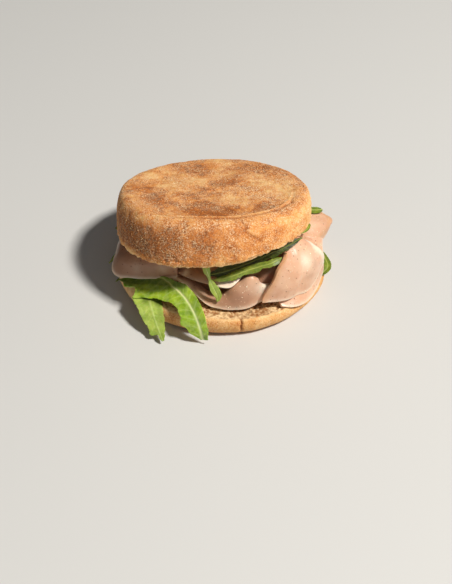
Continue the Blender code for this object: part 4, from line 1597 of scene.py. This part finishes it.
LEAVES = [
    Leaf("leaf_front_long",
         [(-8.5, -56.1, 2.9), (-10.4, -55.5, 9.4), (-12.8, -52.6, 15.0), (-16.5, -46.8, 19.0),
          (-21.0, -41.2, 20.6), (-28.0, -34.8, 19.4), (-38.0, -29.4, 15.7), (-45.0, -26.4, 14.0),
          (-51.8, -23.2, 12.9)],
         (-0.3, -0.9, 0.35), (0.0, -0.05, 1.0),
         left=[(0.0, 1.0), (0.1, 5.0), (0.2, 7.4), (0.26, 5.6), (0.34, 5.2), (0.42, 5.8), (0.5, 7.2),
               (0.6, 7.6), (0.7, 8.4), (0.76, 9.6), (0.79, 10.0), (0.806, 5.0), (0.825, 3.3), (0.87, 3.5),
               (0.91, 3.6), (0.945, 1.0), (1.0, 0.1)],
         right=[(0.0, 3.0), (0.1, 4.8), (0.2, 5.9), (0.3, 6.2), (0.4, 5.8), (0.5, 4.2), (0.6, 4.4),
                (0.7, 4.2), (0.8, 3.9), (0.9, 2.8), (1.0, 0.1)],
         rib=[(0.0, 0.2), (0.1, 0.9), (0.2, 1.2), (0.4, 1.0), (0.5, 1.2), (0.56, 2.4), (0.62, 3.5),
              (0.7, 4.6), (1.0, 5.0)],
         # The blots are painted shade that the crown and the left ham cast on the leaf's far half.
         rib_width=0.62, blots=(
             (-50.2, -23.7, 13.2, 3.0, 0.9), (-46.0, -26.0, 13.8, 2.2, 0.8), (-42.2, -26.6, 14.6, 2.6, 0.9),
             (-38.6, -27.6, 15.6, 2.6, 0.9), (-35.0, -28.6, 17.0, 2.7, 0.9), (-31.4, -30.4, 18.7, 2.8, 0.9),
             (-28.0, -32.3, 20.1, 2.8, 0.9), (-24.5, -34.4, 21.4, 2.9, 0.9), (-21.0, -36.6, 22.7, 2.9, 0.9),
             (-17.6, -39.2, 23.6, 2.4, 0.8)),
         cup=0.09, wave=0.7, tone=Tone.YOUNG),
    Leaf("leaf_front_short",
         [(-35.0, -31.0, 13.8), (-34.6, -38.9, 13.5), (-34.0, -44.1, 11.7), (-31.9, -49.1, 8.2),
          (-29.6, -53.5, 5.0), (-27.9, -56.9, 2.8)],
         (0.06, -0.1, 1.0), (-0.3, -0.7, 0.6),
         left=[(0.0, 3.6), (0.3, 5.8), (0.5, 5.7), (0.65, 5.0), (0.8, 3.5), (0.9, 2.3), (1.0, 0.8)],
         right=[(0.0, 4.6), (0.12, 7.6), (0.2, 8.8), (0.3, 7.6), (0.42, 6.0), (0.55, 5.0), (0.68, 4.3),
                (0.83, 4.8), (0.845, 4.2), (0.865, 1.1), (0.93, 1.1), (1.0, 0.3)],
         rib=[(0.0, 1.2), (0.5, -0.4), (1.0, 0.0)], rib_width=0.5, rib_share=0.4,
         # The blots are painted shade that the long leaf casts on this one.
         blots=((-32.6, -38.0, 13.8, 3.4, 0.7), (-29.0, -41.0, 12.4, 3.2, 0.7),
                (-37.2, -39.0, 12.6, 2.4, 0.6)),
         cup=0.01, serration=0.6, tone=Tone.UNDER),
    Leaf("leaf_strip",
         [(-7.6, -37.6, 37.6), (-6.4, -40.4, 34.6), (-5.1, -40.9, 29.5), (-3.6, -41.6, 25.2),
          (-1.9, -42.4, 21.7), (-1.0, -43.0, 18.9), (-1.4, -43.5, 16.6)],
         (0.2, -0.9, 0.5), (-0.2, -0.9, 0.45),
         left=[(0.0, 1.8), (0.2, 1.7), (0.34, 0.8), (0.42, 0.7), (0.56, 1.7), (0.7, 2.3), (0.84, 2.2),
               (0.94, 1.2), (1.0, 0.2)],
         right=[(0.0, 1.8), (0.2, 1.7), (0.34, 0.7), (0.42, 0.6), (0.56, 1.5), (0.7, 2.0), (0.84, 1.6),
                (0.94, 0.9), (1.0, 0.2)],
         rib_width=0.25, wave=0.2, serration=0.1, tone=Tone.UNDER),
    Leaf("leaf_under_crown",
         [(-3.8, -40.1, 27.8), (2.5, -39.7, 28.8), (8.7, -38.6, 30.4), (14.5, -37.1, 32.0),
          (20.3, -36.4, 33.6), (25.1, -35.6, 34.8), (28.2, -33.8, 35.4), (30.0, -32.9, 35.8)],
         (0.0, -0.55, 0.85), (0.2, -0.5, 0.85),
         left=[(0.0, 0.3), (0.17, 1.3), (0.35, 2.2), (0.52, 2.0), (0.66, 2.1), (0.8, 1.6), (0.9, 1.9),
               (1.0, 0.5)],
         right=[(0.0, 0.3), (0.12, 1.3), (0.3, 2.1), (0.37, 1.9), (0.41, 1.5), (0.6, 2.1), (0.67, 1.9),
                (0.69, 1.1), (0.8, 1.7), (0.93, 1.9), (1.0, 0.4)],
         rib_width=0.2, cup=-0.2, wave=0.4, serration=0.4),
    # Its near-black green is painted shade under the crown's lip.
    Leaf("leaf_crown_edge",
         polar([(-98, 36.4, 27.6), (-88, 35.8, 29.2), (-78, 35.5, 30.8), (-67.6, 35.8, 32.4),
                (-58.5, 37.2, 34.4), (-53, 39.2, 36.6), (-48.6, 41.6, 38.8), (-43.5, 43.4, 39.9),
                (-36.9, 44.9, 40.6), (-30.6, 46.2, 40.6)]),
         (0.0, -0.75, 0.66), (-0.1, -0.45, 0.9),
         left=[(0.0, 1.0), (0.2, 4.0), (0.6, 5.0), (0.8, 2.6), (0.9, 1.6), (1.0, 0.2)],
         right=[(0.0, 0.8), (0.12, 2.6), (0.4, 3.4), (0.52, 3.2), (0.6, 1.9), (0.66, 2.7), (0.74, 1.5),
                (0.8, 1.7), (0.9, 1.2), (1.0, 0.2)],
         rib_width=0.2, cup=0.0, serration=0.6, tone=Tone.OLD),
    tip_leaf("leaf_right_sliver", [(-21, 42.8, 36.8), (-16.5, 44.3, 36.0), (-12, 45.0, 35.2),
                                   (-7, 45.4, 34.6)],
             ((0.2, 0.0, 1.0), (0.3, 0.0, 1.0)), BLUNT_TIP, 0.9,
             rib_width=0.3, cup=0.0, wave=0.0, serration=0.1),
    tip_leaf("leaf_back_right", [(30, 41.0, 26.2), (22.5, 46.0, 26.0), (19.8, 51.0, 25.0),
                                 (20.0, 57.2, 23.4)],
             (UPWARD, (0.2, -0.1, 1.0)), BLUNT_TIP, 2.4, wave=0.3),
    tip_leaf("leaf_right_low", [(8, 50.0, 10.0), (3.3, 52.0, 9.8), (-1.5, 54.0, 9.4), (-6.2, 55.8, 9.0),
                                (-9.6, 56.3, 8.5), (-12.6, 55.0, 8.1), (-16, 53.2, 8.0)],
             (UPWARD, (0.1, 0.0, 1.0)), BLUNT_TIP, 1.9, cup=0.03, wave=0.2),
    tip_leaf("leaf_left_high", [(160, 38.0, 21.5), (165, 48.0, 19.9), (168, 56.6, 17.2)],
             (UPWARD, (-0.2, 0.0, 1.0)), BLUNT_TIP, 2.3, rib_width=0.3, cup=0.0, wave=0.0, serration=0.1),
    tip_leaf("leaf_left_low", [(157, 38.0, 12.4), (171, 45.8, 13.3), (181.5, 52.0, 12.6),
                               (187.2, 58.1, 9.5)],
             (UPWARD, (-0.5, 0.0, 0.9)), POINTED_TIP, 2.5, cup=0.0, wave=0.2),
]


# ---------------------------------------------------------------- grains and crumbs


@dataclass
class Sprinkle:
    """Loose grains that lie on some pieces, joined into one mesh.

    They lie on faces whose normal rises by more than facing.  sheets is true where the pieces are
    open sheets, whose faces may look either way.
    """

    name: str
    slot: str
    count: int
    smallest: float
    largest: float
    seed: int
    facing: float = 0.15
    sheets: bool = False
    small_bias: float = 2.2
    sunk: float = 0.12
    clump_count: int = 60
    spare_picks: int = 6

    def spots(self, pieces: Sequence[bpy.types.Object], keep: Callable[[Vector], float]
              ) -> list[tuple[Vector, Vector]]:
        """Pick places on the pieces' outer faces.

        Args:
            pieces: Objects that carry the grains.
            keep: Share of grains that stay at a place in millimetres.

        Returns:
            Places in millimetres, each with its normal.
        """
        draw = random.Random(self.seed)
        faces = [(piece.data, face) for piece in pieces for face in piece.data.polygons
                 if (abs(face.normal.z) if self.sheets else face.normal.z) > self.facing]
        picks = iter(draw.choices(faces, [face.area for _, face in faces], k=self.count * self.spare_picks))
        found = []
        while len(found) < self.count:
            mesh, face = next(picks)
            corners = [mesh.vertices[index].co for index in face.vertices]
            shares = [draw.random() + 0.05 for _ in corners]
            spot = sum((corner * share for corner, share in zip(corners, shares)), Vector()) / sum(shares)
            if draw.random() < keep(spot / MM):
                turned_up = -1.0 if self.sheets and face.normal.z < 0 else 1.0
                found.append((spot / MM, face.normal * turned_up))
        return found

    def build(self, spots: Sequence[tuple[Vector, Vector]], material: bpy.types.Material,
              lift: float = 0.0) -> Piece:
        """Model the grains.

        Args:
            spots: Places and normals.
            material: Finish of the grains.
            lift: Height in millimetres of the surface above the faces that were picked.

        Returns:
            The piece.
        """
        draw = random.Random(self.seed + 1)
        form = bmesh.new()
        clump_mesh = bpy.data.meshes.new("clump")
        for start in range(0, len(spots), self.clump_count):
            clump = bmesh.new()
            for spot, normal in spots[start:start + self.clump_count]:
                size = self.smallest + (self.largest - self.smallest) * draw.random() ** self.small_bias
                stretch = Matrix.Diagonal((1.0, draw.uniform(0.6, 1.1), draw.uniform(0.5, 0.9), 1.0))
                turn = Euler([draw.uniform(0, math.tau) for _ in range(3)]).to_matrix().to_4x4()
                seat = Matrix.Translation(spot + normal * (lift + self.sunk * size)) @ turn @ stretch
                bmesh.ops.create_icosphere(clump, subdivisions=1, radius=size / 2, matrix=seat)
            clump.to_mesh(clump_mesh)
            clump.free()
            form.from_mesh(clump_mesh)
        bpy.data.meshes.remove(clump_mesh)
        return Piece(self.name, form, material, self.slot, sharp=30.0)


# ---------------------------------------------------------------- studio


@dataclass(frozen=True)
class Lamp:
    """A square soft light: where it stands and its side in millimetres, its power in watts."""

    name: str
    place: Place
    size: float
    power: float
    colour: Colour

    def add(self, aim: Place) -> None:
        """Hang the lamp and aim it at a place in millimetres.

        Args:
            aim: The place.
        """
        light = bpy.data.lights.new(self.name, "AREA")
        light.size = self.size * MM
        light.energy = self.power
        light.color = self.colour
        lamp = bpy.data.objects.new(self.name, light)
        lamp.location = Vector(self.place) * MM
        lamp.rotation_euler = (Vector(aim) - Vector(self.place)).to_track_quat("-Z", "Y").to_euler()
        bpy.context.scene.collection.objects.link(lamp)


@dataclass
class Studio:
    """Pale floor, soft lights and the camera."""

    camera_place: Place = (2.9, -414.2, 372.0)
    camera_pitch: float = 46.74
    lens: float = 64.73
    floor_size: float = 3000.0
    aim: Place = (0.0, 0.0, 25.0)
    key: Lamp = Lamp("key", (1050.0, -590.0, 1840.0), 260.0, 57.0, (1.0, 0.96, 0.91))
    fill: Lamp = Lamp("fill", (220.0, -860.0, 430.0), 600.0, 0.6, (1.0, 0.98, 0.95))
    sky_colour: Colour = (0.96, 0.98, 1.0)
    sky_strength: float = 0.09

    def add_camera(self) -> None:
        """Look down on the open front."""
        camera = bpy.data.objects.new("camera", bpy.data.cameras.new("camera"))
        camera.data.sensor_width = 36.0
        camera.data.lens = self.lens
        camera.data.clip_start = 0.01
        camera.location = Vector(self.camera_place) * MM
        camera.rotation_euler = (math.radians(self.camera_pitch), 0.0, 0.0)
        bpy.context.scene.collection.objects.link(camera)
        bpy.context.scene.camera = camera

    def add_sky(self) -> None:
        """Fill the shadows evenly."""
        world = bpy.data.worlds.new("studio")
        bpy.context.scene.world = world
        world.use_nodes = True
        background = world.node_tree.nodes["Background"]
        background.inputs["Color"].default_value = (*self.sky_colour, 1.0)
        background.inputs["Strength"].default_value = self.sky_strength

    def add_floor(self) -> None:
        """Lay the floor."""
        form = bmesh.new()
        bmesh.ops.create_grid(form, x_segments=4, y_segments=4, size=self.floor_size * MM / 2)
        mesh = bpy.data.meshes.new("floor")
        form.to_mesh(mesh)
        form.free()
        floor = bpy.data.objects.new("floor", mesh)
        mesh.materials.append(FloorFinish("studio_floor").material())
        bpy.context.scene.collection.objects.link(floor)

    def build(self) -> None:
        """Set up the studio."""
        bpy.context.scene.view_settings.view_transform = "Standard"
        self.add_camera()
        self.add_floor()
        self.key.add(self.aim)
        self.fill.add(self.aim)
        self.add_sky()


# ---------------------------------------------------------------- the muffin


def build_bread() -> bpy.types.Object:
    """Make both halves of the muffin and return the upper one.

    Returns:
        The upper half.
    """
    crown = Crown().build(CrustFinish("crown_crust").material()).place()
    Heel().build(CrustFinish(
        "heel_crust", pale=(0.84, 0.54, 0.25), golden=(0.68, 0.33, 0.10),
        crumb=(0.90, 0.66, 0.36), crumb_deep=(0.34, 0.15, 0.05)).material()).place()
    return crown


def build_filling() -> dict[str, bpy.types.Object]:
    """Make the ham slices and the rocket leaves.

    Returns:
        The pieces, by the solid that they stand for.
    """
    ham = HamFinish("ham").material()
    rocket = {tone: RocketFinish(f"rocket_{tone.value}", tone).material() for tone in Tone}
    made = {part.node: part.build(ham).place() for part in HAM_SLICES}
    made.update({leaf.node: leaf.build(rocket[leaf.tone]).place() for leaf in LEAVES})
    return made


def scatter(crown: bpy.types.Object, filling: dict[str, bpy.types.Object]) -> None:
    """Sprinkle cornmeal on the crust and crumbs on the ham.

    Args:
        crown: Upper half of the muffin.
        filling: Pieces of the filling, by the solid that they stand for.
    """
    def mealy(spot: Vector) -> float:
        """Share of the cornmeal that stays at a place."""
        return 0.3 + 0.5 * ease(-0.3, 0.4, grain(spot, 8.0, 2, 3.0))

    def near_rim(spot: Vector) -> float:
        """Share of the crumbs that stays at a place, which is all of it near the rim."""
        return ease(34, 42, math.hypot(spot.x, spot.y))

    meal = Sprinkle("cornmeal_grains", "crust", count=5200, smallest=0.25, largest=0.58, seed=5,
                    facing=-0.35)
    grains = GrainFinish("cornmeal").material()
    meal.build(meal.spots([crown], mealy), grains).place()
    slices = [filling[name] for name in ("ham_front", "ham_right", "ham_outer", "ham_back_right")]
    crumbs = Sprinkle("loose_crumbs", "heel_crust", count=330, smallest=0.3, largest=0.85, seed=9,
                      sheets=True)
    crumb_finish = GrainFinish("crumbs", (0.97, 0.90, 0.72), (0.90, 0.72, 0.46)).material()
    crumbs.build(crumbs.spots(slices, near_rim), crumb_finish, lift=HAM_THICKNESS / 2).place()


def main() -> None:
    """Build everything in order."""
    logging.basicConfig(level=logging.INFO, format="%(message)s")
    Studio().build()
    crown = build_bread()
    scatter(crown, build_filling())


if __name__ == "__main__":
    main()
